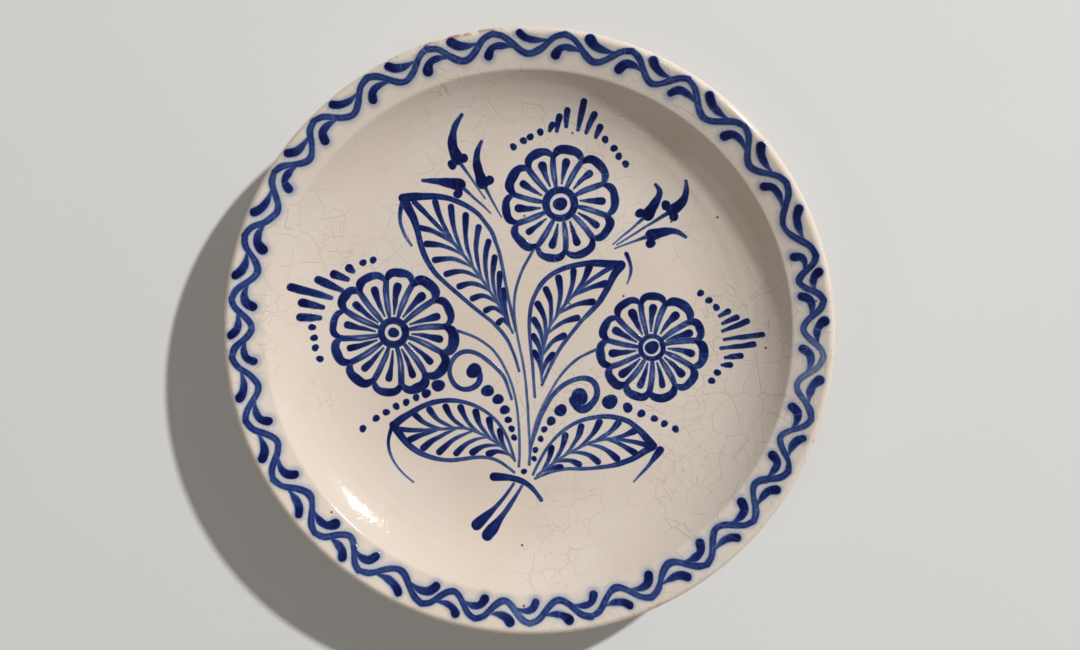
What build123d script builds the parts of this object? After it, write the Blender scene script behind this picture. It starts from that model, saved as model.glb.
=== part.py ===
"""A hand painted ceramic plate: a turned clay dish on a foot ring, its glaze, and its cobalt brushwork.

The plate lies face up. Its axis is Z, and the origin is the middle of the foot ring's rest face.
Lengths are in millimetres and angles in degrees. The bouquet's tie and stem ends point along -Y.
"""
import os
from math import asin, cos, degrees, hypot, radians, sin, sqrt, tan

from build123d import *

# ---------------------------------------------------------------- driving dimensions: clay and glaze
PLATE_RADIUS = 150.0        # axis to the outside of the glazed lip
FLANGE_WIDTH = 20.0         # lip to the ridge
FLANGE_SLOPE = 18.0         # the flange rises outwards
LIP_RADIUS = 3.0            # the lip is a half round, so the flange is twice this thick
RIDGE_ROUND = 4.0           # rounding between the cove and the flange
COVE_WIDTH = 27.0           # ridge to the gentle part of the well
COVE_CURVE = 57.0           # radius of the steep part of the well
DISH_WIDTH = 23.0           # steep part to the flat floor
DISH_CURVE = 92.0           # radius of the gentle part of the well
FLOOR_THICKNESS = 7.6       # floor of the well to the clay that the foot ring joins
BACK_SLOPE = 5.0            # the back leaves the foot ring at this slope
FOOT_SPREAD = 2.0           # the foot ring's outside, where it joins the body, past the flat floor
FOOT_WIDTH = 10.0           # of the foot ring where it joins the body
FOOT_HEIGHT = 6.0
FOOT_TAPER = 1.0            # each side of the foot ring leans in by this much
FOOT_ROUND = 1.2            # rounding of the foot ring's worn edges
GLAZE = 0.4                 # thickness of the glaze

# ---------------------------------------------------------------- driving dimensions: brushwork
PAINT = 0.15                # the fired cobalt stands this much above the glaze
DRAWN_WELL = 126.5          # ridge radius that the bouquet's points are drawn for
VINE_STROKE = 3.2           # width of the border's wavy line
VINE_SWING = 0.25           # the wave's reach either side of its middle, as a share of the flange
VINE_MIDDLE = 0.52          # the wave's middle, as a share of the way from ridge to lip
VINE_DRIFT = 0.09           # the border was drawn off centre by this share of the flange
DRIFT_BEARING = 110.0       # and towards this side
WAVE_BEARINGS = (           # where the hand brought each wave of the border nearest the lip
    7.5, 16.2, 31.2, 44.4, 58.2, 69.9, 82.8, 96.3, 108.9, 121.5, 134.4, 146.7, 160.2, 172.5, 183.9,
    196.8, 209.4, 222.9, 234.3, 248.4, 259.5, 270.5, 282.9, 295.5, 308.4, 321.0, 333.0, 344.1, 356.4,
)
LEAF_HEAD = 3.6             # width of a border leaf's round head
LEAF_TAIL = 1.3             # and of its tail
DOT = 3.3                   # diameter of the small dots


# ---------------------------------------------------------------- the section's worked-out places
ridge_radius = PLATE_RADIUS - FLANGE_WIDTH
dish_radius = ridge_radius - COVE_WIDTH
floor_radius = dish_radius - DISH_WIDTH
floor_height = FOOT_HEIGHT + FLOOR_THICKNESS
foot_radius = floor_radius + FOOT_SPREAD
foot_inside = foot_radius - FOOT_WIDTH
dish_slope = degrees(asin((dish_radius - floor_radius) / DISH_CURVE))
dish_centre = (floor_radius, floor_height + DISH_CURVE)
cove_centre = (
    dish_centre[0] + (DISH_CURVE - COVE_CURVE) * sin(radians(dish_slope)),
    dish_centre[1] - (DISH_CURVE - COVE_CURVE) * cos(radians(dish_slope)),
)
cove_end_slope = degrees(asin((ridge_radius - cove_centre[0]) / COVE_CURVE))
ridge_height = cove_centre[1] - COVE_CURVE * cos(radians(cove_end_slope))
lip_centre = (
    PLATE_RADIUS - LIP_RADIUS,
    ridge_height
    + (PLATE_RADIUS - LIP_RADIUS - ridge_radius) * tan(radians(FLANGE_SLOPE))
    - LIP_RADIUS / cos(radians(FLANGE_SLOPE)),
)
plate_height = lip_centre[1] + LIP_RADIUS


def crossing(centre, radius, start, slope):
    """The nearest point to start, along a line at that slope, where it crosses a circle."""
    along = (cos(radians(slope)), sin(radians(slope)))
    offset = (start[0] - centre[0], start[1] - centre[1])
    half = offset[0] * along[0] + offset[1] * along[1]
    reach = sqrt(half**2 - offset[0] ** 2 - offset[1] ** 2 + radius**2)
    travel = min((-half - reach, -half + reach), key=abs)
    return (start[0] + travel * along[0], start[1] + travel * along[1])


def bearing_of(centre, place):
    """Slope of the surface at a place on a hollow arc about a centre."""
    return degrees(asin((place[0] - centre[0]) / hypot(place[0] - centre[0], place[1] - centre[1])))


# the ridge's rounding touches the cove from inside the clay and lies under the flange's line
under_flange = (
    ridge_radius + RIDGE_ROUND * sin(radians(FLANGE_SLOPE)),
    ridge_height - RIDGE_ROUND * cos(radians(FLANGE_SLOPE)),
)
ridge_centre = crossing(cove_centre, COVE_CURVE + RIDGE_ROUND, under_flange, FLANGE_SLOPE)
ridge_slope = bearing_of(cove_centre, ridge_centre)

# the back is one arc from the foot ring to the underside of the flange
back_start = (foot_radius, FOOT_HEIGHT)
back_reach = hypot(ridge_radius + 2 * LIP_RADIUS - foot_radius, ridge_height - LIP_RADIUS - FOOT_HEIGHT)
back_bend = 2 * (
    degrees(asin((ridge_height - LIP_RADIUS - FOOT_HEIGHT) / back_reach)) - BACK_SLOPE
)
back_curve = back_reach / (2 * sin(radians(back_bend / 2)))
back_centre = (
    back_start[0] - back_curve * sin(radians(BACK_SLOPE)),
    back_start[1] + back_curve * cos(radians(BACK_SLOPE)),
)


def turn(centre, radius, start, end, depth):
    """Draw an arc of the section about a centre between two slopes, moved by depth into the clay.

    A hollow has a positive radius and a round a negative one.
    """
    reach = radius + depth
    slopes = (start, (start + end) / 2, end)
    ThreePointArc(
        *[(centre[0] + reach * sin(radians(s)), centre[1] - reach * cos(radians(s))) for s in slopes]
    )
    return [(centre[0] + reach * sin(radians(s)), centre[1] - reach * cos(radians(s))) for s in slopes]


def draw_face(depth, lip_slope):
    """Draw the section of the plate's face at a depth under the glaze, from the axis round the lip."""
    dish = turn(dish_centre, DISH_CURVE, 0, dish_slope, depth)
    cove = turn(cove_centre, COVE_CURVE, dish_slope, ridge_slope, depth)
    ridge = turn(ridge_centre, -RIDGE_ROUND, ridge_slope, FLANGE_SLOPE, depth)
    lip = turn(lip_centre, -LIP_RADIUS, FLANGE_SLOPE, lip_slope, depth)
    Line((0, floor_height - depth), dish[0])
    Line(ridge[-1], lip[0])
    return (0, floor_height - depth), lip[-1]


def draw_back(depth):
    """Draw the section of the plate's back at a depth under the glaze, from foot ring to lip."""
    under = FLANGE_SLOPE - 180
    reach = LIP_RADIUS - depth
    lip_end = (lip_centre[0] - reach * sin(radians(under)), lip_centre[1] + reach * cos(radians(under)))
    corner = crossing(back_centre, back_curve - depth, lip_end, FLANGE_SLOPE)
    foot_rise = sqrt((back_curve - depth) ** 2 - (foot_radius - back_centre[0]) ** 2)
    foot_end = (foot_radius, back_centre[1] - foot_rise)
    start, end = bearing_of(back_centre, foot_end), bearing_of(back_centre, corner)
    turn(back_centre, back_curve, start, end, -depth)
    Line(corner, lip_end)
    return foot_end, lip_end


under_lip = FLANGE_SLOPE - 180

# ---------------------------------------------------------------- clay
with BuildPart() as clay_body:
    with BuildSketch(Plane.XZ):
        with BuildLine():
            axis_top, face_end = draw_face(GLAZE, under_lip)
            foot_end, lip_end = draw_back(GLAZE)
            Line(foot_end, (foot_radius, FOOT_HEIGHT))
            Line((foot_radius, FOOT_HEIGHT), (foot_inside, FOOT_HEIGHT))
            Line(
                (foot_inside, FOOT_HEIGHT),
                (foot_inside, FOOT_HEIGHT + GLAZE),
            )
            Line((foot_inside, FOOT_HEIGHT + GLAZE), (0, FOOT_HEIGHT + GLAZE))
            Line((0, FOOT_HEIGHT + GLAZE), axis_top)
        make_face()
    revolve(axis=Axis.Z)

with BuildPart() as foot_ring:
    with BuildSketch(Plane.XZ):
        with BuildLine():
            Polyline(
                (foot_inside, FOOT_HEIGHT),
                (foot_inside + FOOT_TAPER, 0),
                (foot_radius - FOOT_TAPER, 0),
                (foot_radius, FOOT_HEIGHT),
                close=True,
            )
        make_face()
    revolve(axis=Axis.Z)
    fillet(foot_ring.edges().group_by(Axis.Z)[0], FOOT_ROUND)

# ---------------------------------------------------------------- glaze
with BuildPart() as face_glaze:
    with BuildSketch(Plane.XZ):
        with BuildLine():
            outer_axis, outer_lip = draw_face(0, under_lip)
            inner_axis, inner_lip = draw_face(GLAZE, under_lip)
            Line(outer_axis, inner_axis)
            Line(outer_lip, inner_lip)
        make_face()
    revolve(axis=Axis.Z)

with BuildPart() as back_glaze:
    with BuildSketch(Plane.XZ):
        with BuildLine():
            outer_foot, outer_lip = draw_back(0)
            inner_foot, inner_lip = draw_back(GLAZE)
            Line(outer_foot, inner_foot)
            Line(outer_lip, inner_lip)
        make_face()
    revolve(axis=Axis.Z)

with BuildPart() as base_glaze:
    with BuildSketch(Plane.XY.offset(FOOT_HEIGHT)):
        Circle(foot_inside)
    extrude(amount=GLAZE)

# the skin over the glaze that holds the paint, which stops part of the way over the lip
PAINT_STOP = -60.0
with BuildPart() as paint_skin:
    with BuildSketch(Plane.XZ):
        with BuildLine():
            outer_axis, outer_lip = draw_face(-PAINT, PAINT_STOP)
            inner_axis, inner_lip = draw_face(0, PAINT_STOP)
            Line(outer_axis, inner_axis)
            Line(outer_lip, inner_lip)
        make_face()
    revolve(axis=Axis.Z)


# ---------------------------------------------------------------- strokes of the brush
drawn_scale = ridge_radius / DRAWN_WELL


def polar(radius, bearing):
    """The place at a radius and a bearing about the origin."""
    return (radius * cos(radians(bearing)), radius * sin(radians(bearing)))


def width_at(widths, share):
    """The stroke's width at a share of its length, from widths spaced evenly along it."""
    spans = len(widths) - 1
    step = min(int(share * spans), spans - 1)
    blend = share * spans - step
    blend = blend * blend * (3 - 2 * blend)
    return widths[step] + (widths[step + 1] - widths[step]) * blend


def stroke(points, widths):
    """Lay one stroke in the sketch: a smooth line through the points, its ends round."""
    spine = Edge.make_spline([Vector(*point) for point in points])
    stations = 2 * len(points) + 1
    left, right = [], []
    for station in range(stations):
        share = station / (stations - 1)
        middle, heading = spine @ share, (spine % share).normalized()
        side = Vector(-heading.Y, heading.X) * (width_at(widths, share) / 2)
        left.append(middle + side)
        right.append(middle - side)
    start_cap = spine @ 0 - (spine % 0).normalized() * (widths[0] / 2)
    end_cap = spine @ 1 + (spine % 1).normalized() * (widths[-1] / 2)
    with BuildLine() as outline:
        Spline(*left)
        ThreePointArc(left[-1], end_cap, right[-1])
        Spline(*right)
        ThreePointArc(right[0], start_cap, left[0])
    make_face(outline.edges())


def bouquet_stroke(points, widths):
    """Lay a stroke whose points are drawn for the drawn well."""
    stroke([(x * drawn_scale, y * drawn_scale) for x, y in points], widths)


def dots(places, diameters):
    """Lay round dots of the bouquet, each with its own diameter."""
    for (x, y), diameter in zip(places, diameters):
        with Locations((x * drawn_scale, y * drawn_scale)):
            Circle(diameter / 2)


def wave_radius(bearing, swing):
    """Radius on the border at a bearing: swing is -1 at the wave's inner turn and 1 at its outer."""
    drift = VINE_DRIFT * cos(radians(bearing - DRIFT_BEARING))
    return ridge_radius + FLANGE_WIDTH * (VINE_MIDDLE + drift + VINE_SWING * swing)


def waves():
    """Each wave of the border as the bearings of its start and of its end."""
    ends = WAVE_BEARINGS[1:] + (WAVE_BEARINGS[0] + 360,)
    return list(zip(WAVE_BEARINGS, ends))


def along_wave(wave, share, swing):
    """A place in a wave: share of the way along it, and swing across the border."""
    bearing = wave[0] + (wave[1] - wave[0]) * share
    return polar(wave_radius(bearing, swing), bearing)


def flower(centre, radius, petals, notch, ring, ring_width, eye):
    """Lay a flower: lobes round its edge, a line between petals, a drop in each, a ring and an eye."""
    pitch = 360 / petals

    def at(share, bearing):
        """A place in the flower at a share of its radius."""
        dx, dy = polar(radius * share, bearing)
        return (centre[0] + dx, centre[1] + dy)

    inner = (ring + ring_width / 2) / radius
    for petal in range(petals):
        start = notch + petal * pitch
        lobe = [at(0.81, start), at(0.94, start + 0.22 * pitch), at(0.955, start + 0.5 * pitch)]
        lobe += [at(0.94, start + 0.78 * pitch), at(0.81, start + pitch)]
        bouquet_stroke(lobe, (2.2, 3.4, 3.8, 3.4, 2.2))
        divider = [at(inner * 0.95, start + 5), at(0.6, start + 3), at(0.81, start)]
        bouquet_stroke(divider, (1.2, 1.4, 2.0))
        drop = [at(inner + 0.06, start + pitch / 2 + 4), at(0.56, start + pitch / 2 + 2)]
        drop += [at(0.74, start + pitch / 2)]
        bouquet_stroke(drop, (0.9, 2.2, 3.4))
    with Locations((centre[0] * drawn_scale, centre[1] * drawn_scale)):
        Circle((ring + ring_width / 2) * drawn_scale)
        Circle((ring - ring_width / 2) * drawn_scale, mode=Mode.SUBTRACT)
        Circle(eye * drawn_scale)


def between(first, second, share):
    """The place at a share of the way from one place to another."""
    return tuple(a + (b - a) * share for a, b in zip(first, second))


def leaf(upper, lower, rib, veins, vein_head):
    """Lay a leaf: two edges and a rib, each from the tip, and comma veins from the edges to the rib."""
    bouquet_stroke(upper, (4.2, 2.6, 2.0, 1.6, 1.4))
    bouquet_stroke(lower, (4.2, 2.8, 2.0, 1.8, 1.4))
    bouquet_stroke(rib, (2.6, 1.6, 1.4, 1.2))
    rib_line = Edge.make_spline([Vector(*point) for point in rib])
    for edge, count in zip((upper, lower), veins):
        edge_line = Edge.make_spline([Vector(*point) for point in edge])
        for vein in range(count):
            share = 0.16 + 0.62 * vein / (count - 1)
            foot = rib_line @ min(share + 0.2, 0.97)
            head = rib_line @ share
            head = head + (edge_line @ share - head) * 0.66
            middle = (foot + head) / 2 + (rib_line @ share - foot) * 0.14
            places = [(place.X, place.Y) for place in (foot, middle, head)]
            bouquet_stroke(places, (0.9, 1.6, vein_head))


def paint(laid):
    """Keep the part of the sketched piece in the paint skin and clear of the strokes laid before it."""
    extrude(amount=plate_height + LIP_RADIUS)
    add(paint_skin.part, mode=Mode.INTERSECT)
    for earlier in laid:
        add(earlier.part, mode=Mode.SUBTRACT)


# ---------------------------------------------------------------- border
with BuildPart() as rim_vine:
    with BuildSketch():
        for wave in waves():
            spine = [along_wave(wave, step / 8, cos(radians(45 * step))) for step in range(9)]
            stroke(spine, (VINE_STROKE, VINE_STROKE))
    paint([])

with BuildPart() as rim_outer_leaves:
    with BuildSketch():
        for wave in waves():
            spine = [(0.26, 0.32), (0.44, 0.28), (0.58, 0.6), (0.635, 0.94)]
            stroke([along_wave(wave, *place) for place in spine], (LEAF_TAIL, 2.4, LEAF_HEAD))
    paint([rim_vine])

with BuildPart() as rim_inner_leaves:
    with BuildSketch():
        for wave in waves():
            spine = [(0.74, -0.34), (0.92, -0.12), (1.06, -0.32), (1.13, -1.0)]
            stroke([along_wave(wave, *place) for place in spine], (LEAF_TAIL, 2.4, LEAF_HEAD))
    paint([rim_vine, rim_outer_leaves])

# ---------------------------------------------------------------- flowers
with BuildPart() as flower_top:
    with BuildSketch():
        flower((15.3, 63.2), 27.8, 10, 25, 6.9, 3.4, 3.2)
    paint([])

with BuildPart() as flower_left:
    with BuildSketch():
        flower((-66.9, -0.2), 31.2, 12, 7, 6.0, 3.4, 2.5)
    paint([])

with BuildPart() as flower_right:
    with BuildSketch():
        flower((60.5, -7.1), 26.6, 11, 6.5, 5.6, 2.4, 3.2)
    paint([])

# ---------------------------------------------------------------- leaves, each with its tip first
with BuildPart() as leaf_upper_left:
    with BuildSketch():
        leaf(
            [(-61.5, 66), (-40, 66), (-27, 60), (-18, 49), (-14, 37.5), (-10.5, 19.5), (-6.5, 1)],
            [(-61.5, 66), (-55.5, 53), (-52, 40), (-47, 31), (-36, 20), (-24, 10), (-11, -3), (-5, -19)],
            [(-56, 64), (-38.5, 46), (-26.5, 31), (-14.5, 13), (-8, 0)],
            (8, 8),
            2.4,
        )
        bouquet_stroke([(-61, 66), (-63, 55), (-57.5, 43)], (2.4, 1.8, 1.4))
    paint([])

with BuildPart() as leaf_upper_right:
    with BuildSketch():
        leaf(
            [(45, 33.5), (27, 34), (8, 26), (0.5, 9.5), (1, -7), (3, -32)],
            [(45, 33.5), (41, 27), (36, 17.5), (27.5, 7.5), (12.5, -13), (6.5, -26)],
            [(41, 33), (25, 21.5), (15, 10.5), (10, 2), (7.3, -7), (6.3, -24)],
            (8, 5),
            2.6,
        )
        bouquet_stroke([(47.7, 39), (50, 32), (48.2, 24.4)], (2.2, 1.6, 0.9))
    paint([])

with BuildPart() as leaf_lower_left:
    with BuildSketch():
        leaf(
            [(-67.5, -46.5), (-49, -35.5), (-31, -35), (-14.5, -46), (-7, -64)],
            [(-67.5, -46.5), (-58, -58), (-38, -64), (-18, -63), (-7.5, -70)],
            [(-65, -48.5), (-49, -48.8), (-32.5, -48), (-14.5, -56.5), (-8, -63)],
            (7, 6),
            2.6,
        )
        bouquet_stroke([(-68.5, -48), (-70, -56), (-66.5, -66), (-57.7, -75)], (1.8, 1.4, 1.0, 0.9))
    paint([])

with BuildPart() as leaf_lower_right:
    with BuildSketch():
        leaf(
            [(61.5, -56.2), (49, -44), (30.5, -42.5), (14, -51.5), (2, -71)],
            [(61.5, -56.2), (48.7, -64), (27, -67.8), (14, -68.8), (3, -73)],
            [(60, -56.2), (39.5, -53), (21.5, -59), (4, -71.5)],
            (6, 5),
            2.6,
        )
        bouquet_stroke([(65, -58), (58, -67.5), (52, -74)], (3.6, 1.8, 0.9))
    paint([])

leaves = [leaf_upper_left, leaf_upper_right, leaf_lower_left, leaf_lower_right]

# ---------------------------------------------------------------- stems, tie and scrolls
with BuildPart() as stem_tie:
    with BuildSketch():
        bouquet_stroke([(-17.5, -72.4), (-6, -73.5), (0.5, -77), (6, -83.8)], (4.2, 3.2, 2.6, 2.0))
    paint(leaves)

with BuildPart() as stems:
    with BuildSketch():
        to_top = [(0.4, -66), (-0.3, -41.5), (-4, -9.5), (-7.3, 13), (-4.6, 27.5), (3, 42)]
        to_left = [(-5, -67), (-5.4, -41.5), (-10.8, -19.7), (-22, -5), (-37.5, 1.5)]
        to_right = [(0, -66), (3.2, -46), (11.4, -27.8), (22, -14.5), (35, -7.4)]
        for spine in (to_top, to_left, to_right):
            bouquet_stroke(spine, (1.3, 1.2, 1.4))
        bouquet_stroke([(-7.6, -75.6), (-13, -83.4), (-26, -96)], (1.3, 2.0, 5.6))
        bouquet_stroke([(-3.2, -76.6), (-10, -87.3), (-20.6, -101)], (1.3, 2.4, 6.2))
    paint(leaves + [stem_tie, flower_top, flower_left, flower_right])

with BuildPart() as scroll_left:
    with BuildSketch():
        spine = [(-8.6, -33), (-11.5, -24), (-19, -15), (-32.5, -9.6), (-39.5, -19.5), (-32, -28.3)]
        bouquet_stroke(spine + [(-24.5, -24), (-24.4, -20.4)], (1.4, 2.0, 2.2, 2.4, 3.0))
        dots([(-27.2, -19)], [7.4])
    paint(leaves + [stems, flower_left])

with BuildPart() as scroll_right:
    with BuildSketch():
        spine = [(1, -57), (7.7, -38), (20.5, -24), (31, -23.5), (33.5, -31), (25.9, -38)]
        bouquet_stroke(spine + [(22.3, -33.5)], (1.4, 2.0, 2.4, 3.0, 5.0))
        dots([(25.2, -31.6)], [8.2])
    paint(leaves + [stems, flower_right])

bouquet = leaves + [stems, stem_tie, scroll_left, scroll_right, flower_top, flower_left, flower_right]

# ---------------------------------------------------------------- dots beside the lower leaves
with BuildPart() as dots_left:
    with BuildSketch():
        outer_row = [(-45, -26.5), (-51, -30.5), (-56, -32.5), (-61, -35), (-66, -37), (-71, -40)]
        dots(outer_row + [(-76, -43), (-82.5, -48)], [6.2, 4.4] + [DOT] * 6)
        inner_row = [(-20.5, -29), (-15.3, -33.2), (-12, -38.5), (-10.3, -43.5), (-8.6, -48)]
        dots(inner_row + [(-7.4, -52.4), (-2.5, -69.5)], [6.0, 5.2, 4.6, DOT, 3.1, 2.9, 2.7])
    paint(bouquet)

with BuildPart() as dots_right:
    with BuildSketch():
        inner_row = [(15.7, -38.6), (11, -44), (7.6, -48.2), (5.8, -53), (3.2, -58.6), (2.5, -63)]
        dots(inner_row, [6.0, 4.4, 3.0, 2.8, 2.8, 2.6])
        outer_row = [(40, -34.2), (48.8, -37.1), (55.6, -40), (62, -42.5), (67, -45), (72.5, -47.6)]
        dots(outer_row, [7.4, 4.8, 3.8, DOT, DOT, DOT])
    paint(bouquet)


# ---------------------------------------------------------------- crests of dots and dashes
def crest(dot_places, dashes, dash_width):
    """Lay a crest: dots at its two ends and dashes, each from its root to its tip, between them."""
    dots(dot_places, [DOT] * len(dot_places))
    for root, tip in dashes:
        bouquet_stroke([root, between(root, tip, 0.5), tip], (0.7 * dash_width, dash_width, 1.1 * dash_width))


with BuildPart() as crest_top:
    with BuildSketch():
        crest(
            [(-7.4, 90.8), (-2.5, 93.7), (0.8, 95.5), (5.7, 97.8)]
            + [(37, 94.2), (41.3, 90), (43.6, 86.2), (47, 82.5)],
            [
                ((10.2, 98.6), (11.6, 101.2)), ((13.5, 98.4), (15, 105)), ((18.1, 100.5), (18.8, 108)),
                ((23.8, 98.9), (26.8, 112)), ((27.8, 97.5), (31.6, 106)), ((32.4, 95.4), (34.6, 100)),
            ],
            2.8,
        )
    paint([])

with BuildPart() as crest_left:
    with BuildSketch():
        crest(
            [(-76.5, 35.7), (-81.5, 34.4), (-106.3, 2.9), (-105.5, -2.4), (-105, -7.3), (-102.9, -12.9)],
            [
                ((-86.4, 30.2), (-88.2, 31.6)), ((-89.3, 26.2), (-95.3, 28.7)),
                ((-92.3, 20.8), (-102.8, 26.2)), ((-97.3, 17.2), (-115, 22.9)),
                ((-101.3, 12.6), (-110.4, 15.1)), ((-102.8, 7.3), (-111.4, 8.1)),
            ],
            3.7,
        )
    paint([flower_left])

with BuildPart() as crest_right:
    with BuildSketch():
        crest(
            [(84, 19.8), (88.1, 16.3), (91.7, 12.9), (92.6, -19.2), (89.9, -23.3)],
            [
                ((93.4, 8.6), (97.4, 10.9)), ((94.9, 5.1), (101.4, 8.3)), ((94.9, 1.4), (106.4, 6.2)),
                ((95.8, -2.7), (113.4, 0.2)), ((94.3, -7.3), (109.4, -4.6)),
                ((96.3, -11.6), (103.6, -10.6)), ((94.8, -15.5), (98.7, -15.1)),
            ],
            2.5,
        )
    paint([flower_right])


# ---------------------------------------------------------------- sprays of buds
def bud(horn, lobes, foot):
    """Lay a bud: a horn from its heel to its point, round lobes at the heel, and a thin stem."""
    bouquet_stroke(horn, (5.4, 4.2, 3.0, 1.8))
    dots(lobes, [3.6] * len(lobes))
    bouquet_stroke([horn[0], between(horn[0], foot, 0.6), foot], (2.2, 1.2, 0.8))


with BuildPart() as bud_spray_left:
    with BuildSketch():
        horn = [(-34.5, 85), (-37, 92.5), (-35.8, 99.5), (-32, 106)]
        bud(horn, [(-37.2, 82.2), (-31.8, 85.2)], (-21.5, 65.8))
        horn = [(-22.5, 73.5), (-25, 81.4), (-25, 88), (-23, 93.4)]
        bud(horn, [(-19.2, 74.6)], (-13.5, 56.8))
        horn = [(-33.8, 72.5), (-41.5, 73.8), (-46, 74.3), (-51.6, 74.5)]
        bud(horn, [(-34.5, 68.2)], (-18.5, 58.8))
    paint(leaves)

with BuildPart() as bud_spray_right:
    with BuildSketch():
        horn = [(58, 58), (61.7, 64.3), (63.6, 69), (61.5, 72.5)]
        bud(horn, [(54.2, 58.7)], (41.2, 43.6))
        horn = [(69.5, 60), (74.6, 64.3), (76.3, 69.3), (76, 74.3)]
        bud(horn, [(66.6, 62.6), (70.6, 57.2)], (43, 43.4))
        horn = [(59.7, 48), (65.8, 49.7), (71, 50), (76.3, 47.2)]
        bud(horn, [(59.4, 44)], (42, 41.6))
    paint([leaf_upper_right, flower_top])

# ---------------------------------------------------------------- named pieces
pieces = {
    "clay_body": clay_body,
    "foot_ring": foot_ring,
    "face_glaze": face_glaze,
    "back_glaze": back_glaze,
    "base_glaze": base_glaze,
    "rim_vine": rim_vine,
    "rim_outer_leaves": rim_outer_leaves,
    "rim_inner_leaves": rim_inner_leaves,
    "flower_top": flower_top,
    "flower_left": flower_left,
    "flower_right": flower_right,
    "leaf_upper_left": leaf_upper_left,
    "leaf_upper_right": leaf_upper_right,
    "leaf_lower_left": leaf_lower_left,
    "leaf_lower_right": leaf_lower_right,
    "stems": stems,
    "stem_tie": stem_tie,
    "scroll_left": scroll_left,
    "scroll_right": scroll_right,
    "dots_left": dots_left,
    "dots_right": dots_right,
    "crest_top": crest_top,
    "crest_left": crest_left,
    "crest_right": crest_right,
    "bud_spray_left": bud_spray_left,
    "bud_spray_right": bud_spray_right,
}

os.makedirs("parts", exist_ok=True)
for name, piece in pieces.items():
    piece.part.label = name
    export_step(piece.part, f"parts/{name}.step")

print(f"plate height {plate_height:.2f}, well depth {ridge_height - floor_height:.2f}")
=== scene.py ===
"""Looks of a hand painted ceramic plate: crazed glaze, cobalt brushwork, turned back and foot ring.

Lengths are in metres and angles in degrees. The plate lies face up, its axis is Z, and the bouquet's
tie and stem ends point along -Y.
"""
import logging
from collections.abc import Callable, Sequence
from dataclasses import dataclass, field
from enum import Enum
from math import asin, ceil, cos, degrees, exp, hypot, pi, radians, sin, sqrt, tan
from typing import Any

import bpy
import numpy as np
from mathutils import Matrix, Vector
from mathutils.kdtree import KDTree


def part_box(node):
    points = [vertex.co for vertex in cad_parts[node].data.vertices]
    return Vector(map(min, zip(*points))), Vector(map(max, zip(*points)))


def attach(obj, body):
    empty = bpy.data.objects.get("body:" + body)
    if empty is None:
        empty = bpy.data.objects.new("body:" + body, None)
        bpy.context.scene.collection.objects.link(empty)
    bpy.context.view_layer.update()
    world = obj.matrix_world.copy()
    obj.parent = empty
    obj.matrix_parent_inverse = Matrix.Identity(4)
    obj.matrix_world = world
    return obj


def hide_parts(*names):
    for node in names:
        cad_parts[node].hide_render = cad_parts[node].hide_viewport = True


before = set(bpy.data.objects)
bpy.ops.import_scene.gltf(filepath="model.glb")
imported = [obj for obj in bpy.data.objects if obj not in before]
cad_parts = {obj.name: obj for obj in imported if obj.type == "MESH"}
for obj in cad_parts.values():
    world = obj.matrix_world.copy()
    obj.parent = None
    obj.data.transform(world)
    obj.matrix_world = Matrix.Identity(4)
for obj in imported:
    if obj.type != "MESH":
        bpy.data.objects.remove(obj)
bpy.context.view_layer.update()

log = logging.getLogger("plate")

Point = tuple[float, float]
Colour = tuple[float, float, float]
MM = 0.001


# ---------------------------------------------------------------- shader maths
class Signal:
    """A shader socket that can be used in arithmetic."""

    def __init__(self, shader: "Shader", socket: bpy.types.NodeSocket) -> None:
        """Keep the socket and the shader that it belongs to."""
        self.shader = shader
        self.socket = socket

    def __add__(self, other: "Signal | float") -> "Signal":
        """Add."""
        return self.shader.maths("ADD", self, other)

    def __radd__(self, other: float) -> "Signal":
        """Add to a number."""
        return self.shader.maths("ADD", other, self)

    def __sub__(self, other: "Signal | float") -> "Signal":
        """Take away."""
        return self.shader.maths("SUBTRACT", self, other)

    def __rsub__(self, other: float) -> "Signal":
        """Take from a number."""
        return self.shader.maths("SUBTRACT", other, self)

    def __mul__(self, other: "Signal | float") -> "Signal":
        """Multiply."""
        return self.shader.maths("MULTIPLY", self, other)

    def __rmul__(self, other: float) -> "Signal":
        """Multiply a number."""
        return self.shader.maths("MULTIPLY", other, self)

    def larger(self, other: "Signal | float") -> "Signal":
        """The larger of the two."""
        return self.shader.maths("MAXIMUM", self, other)


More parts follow.
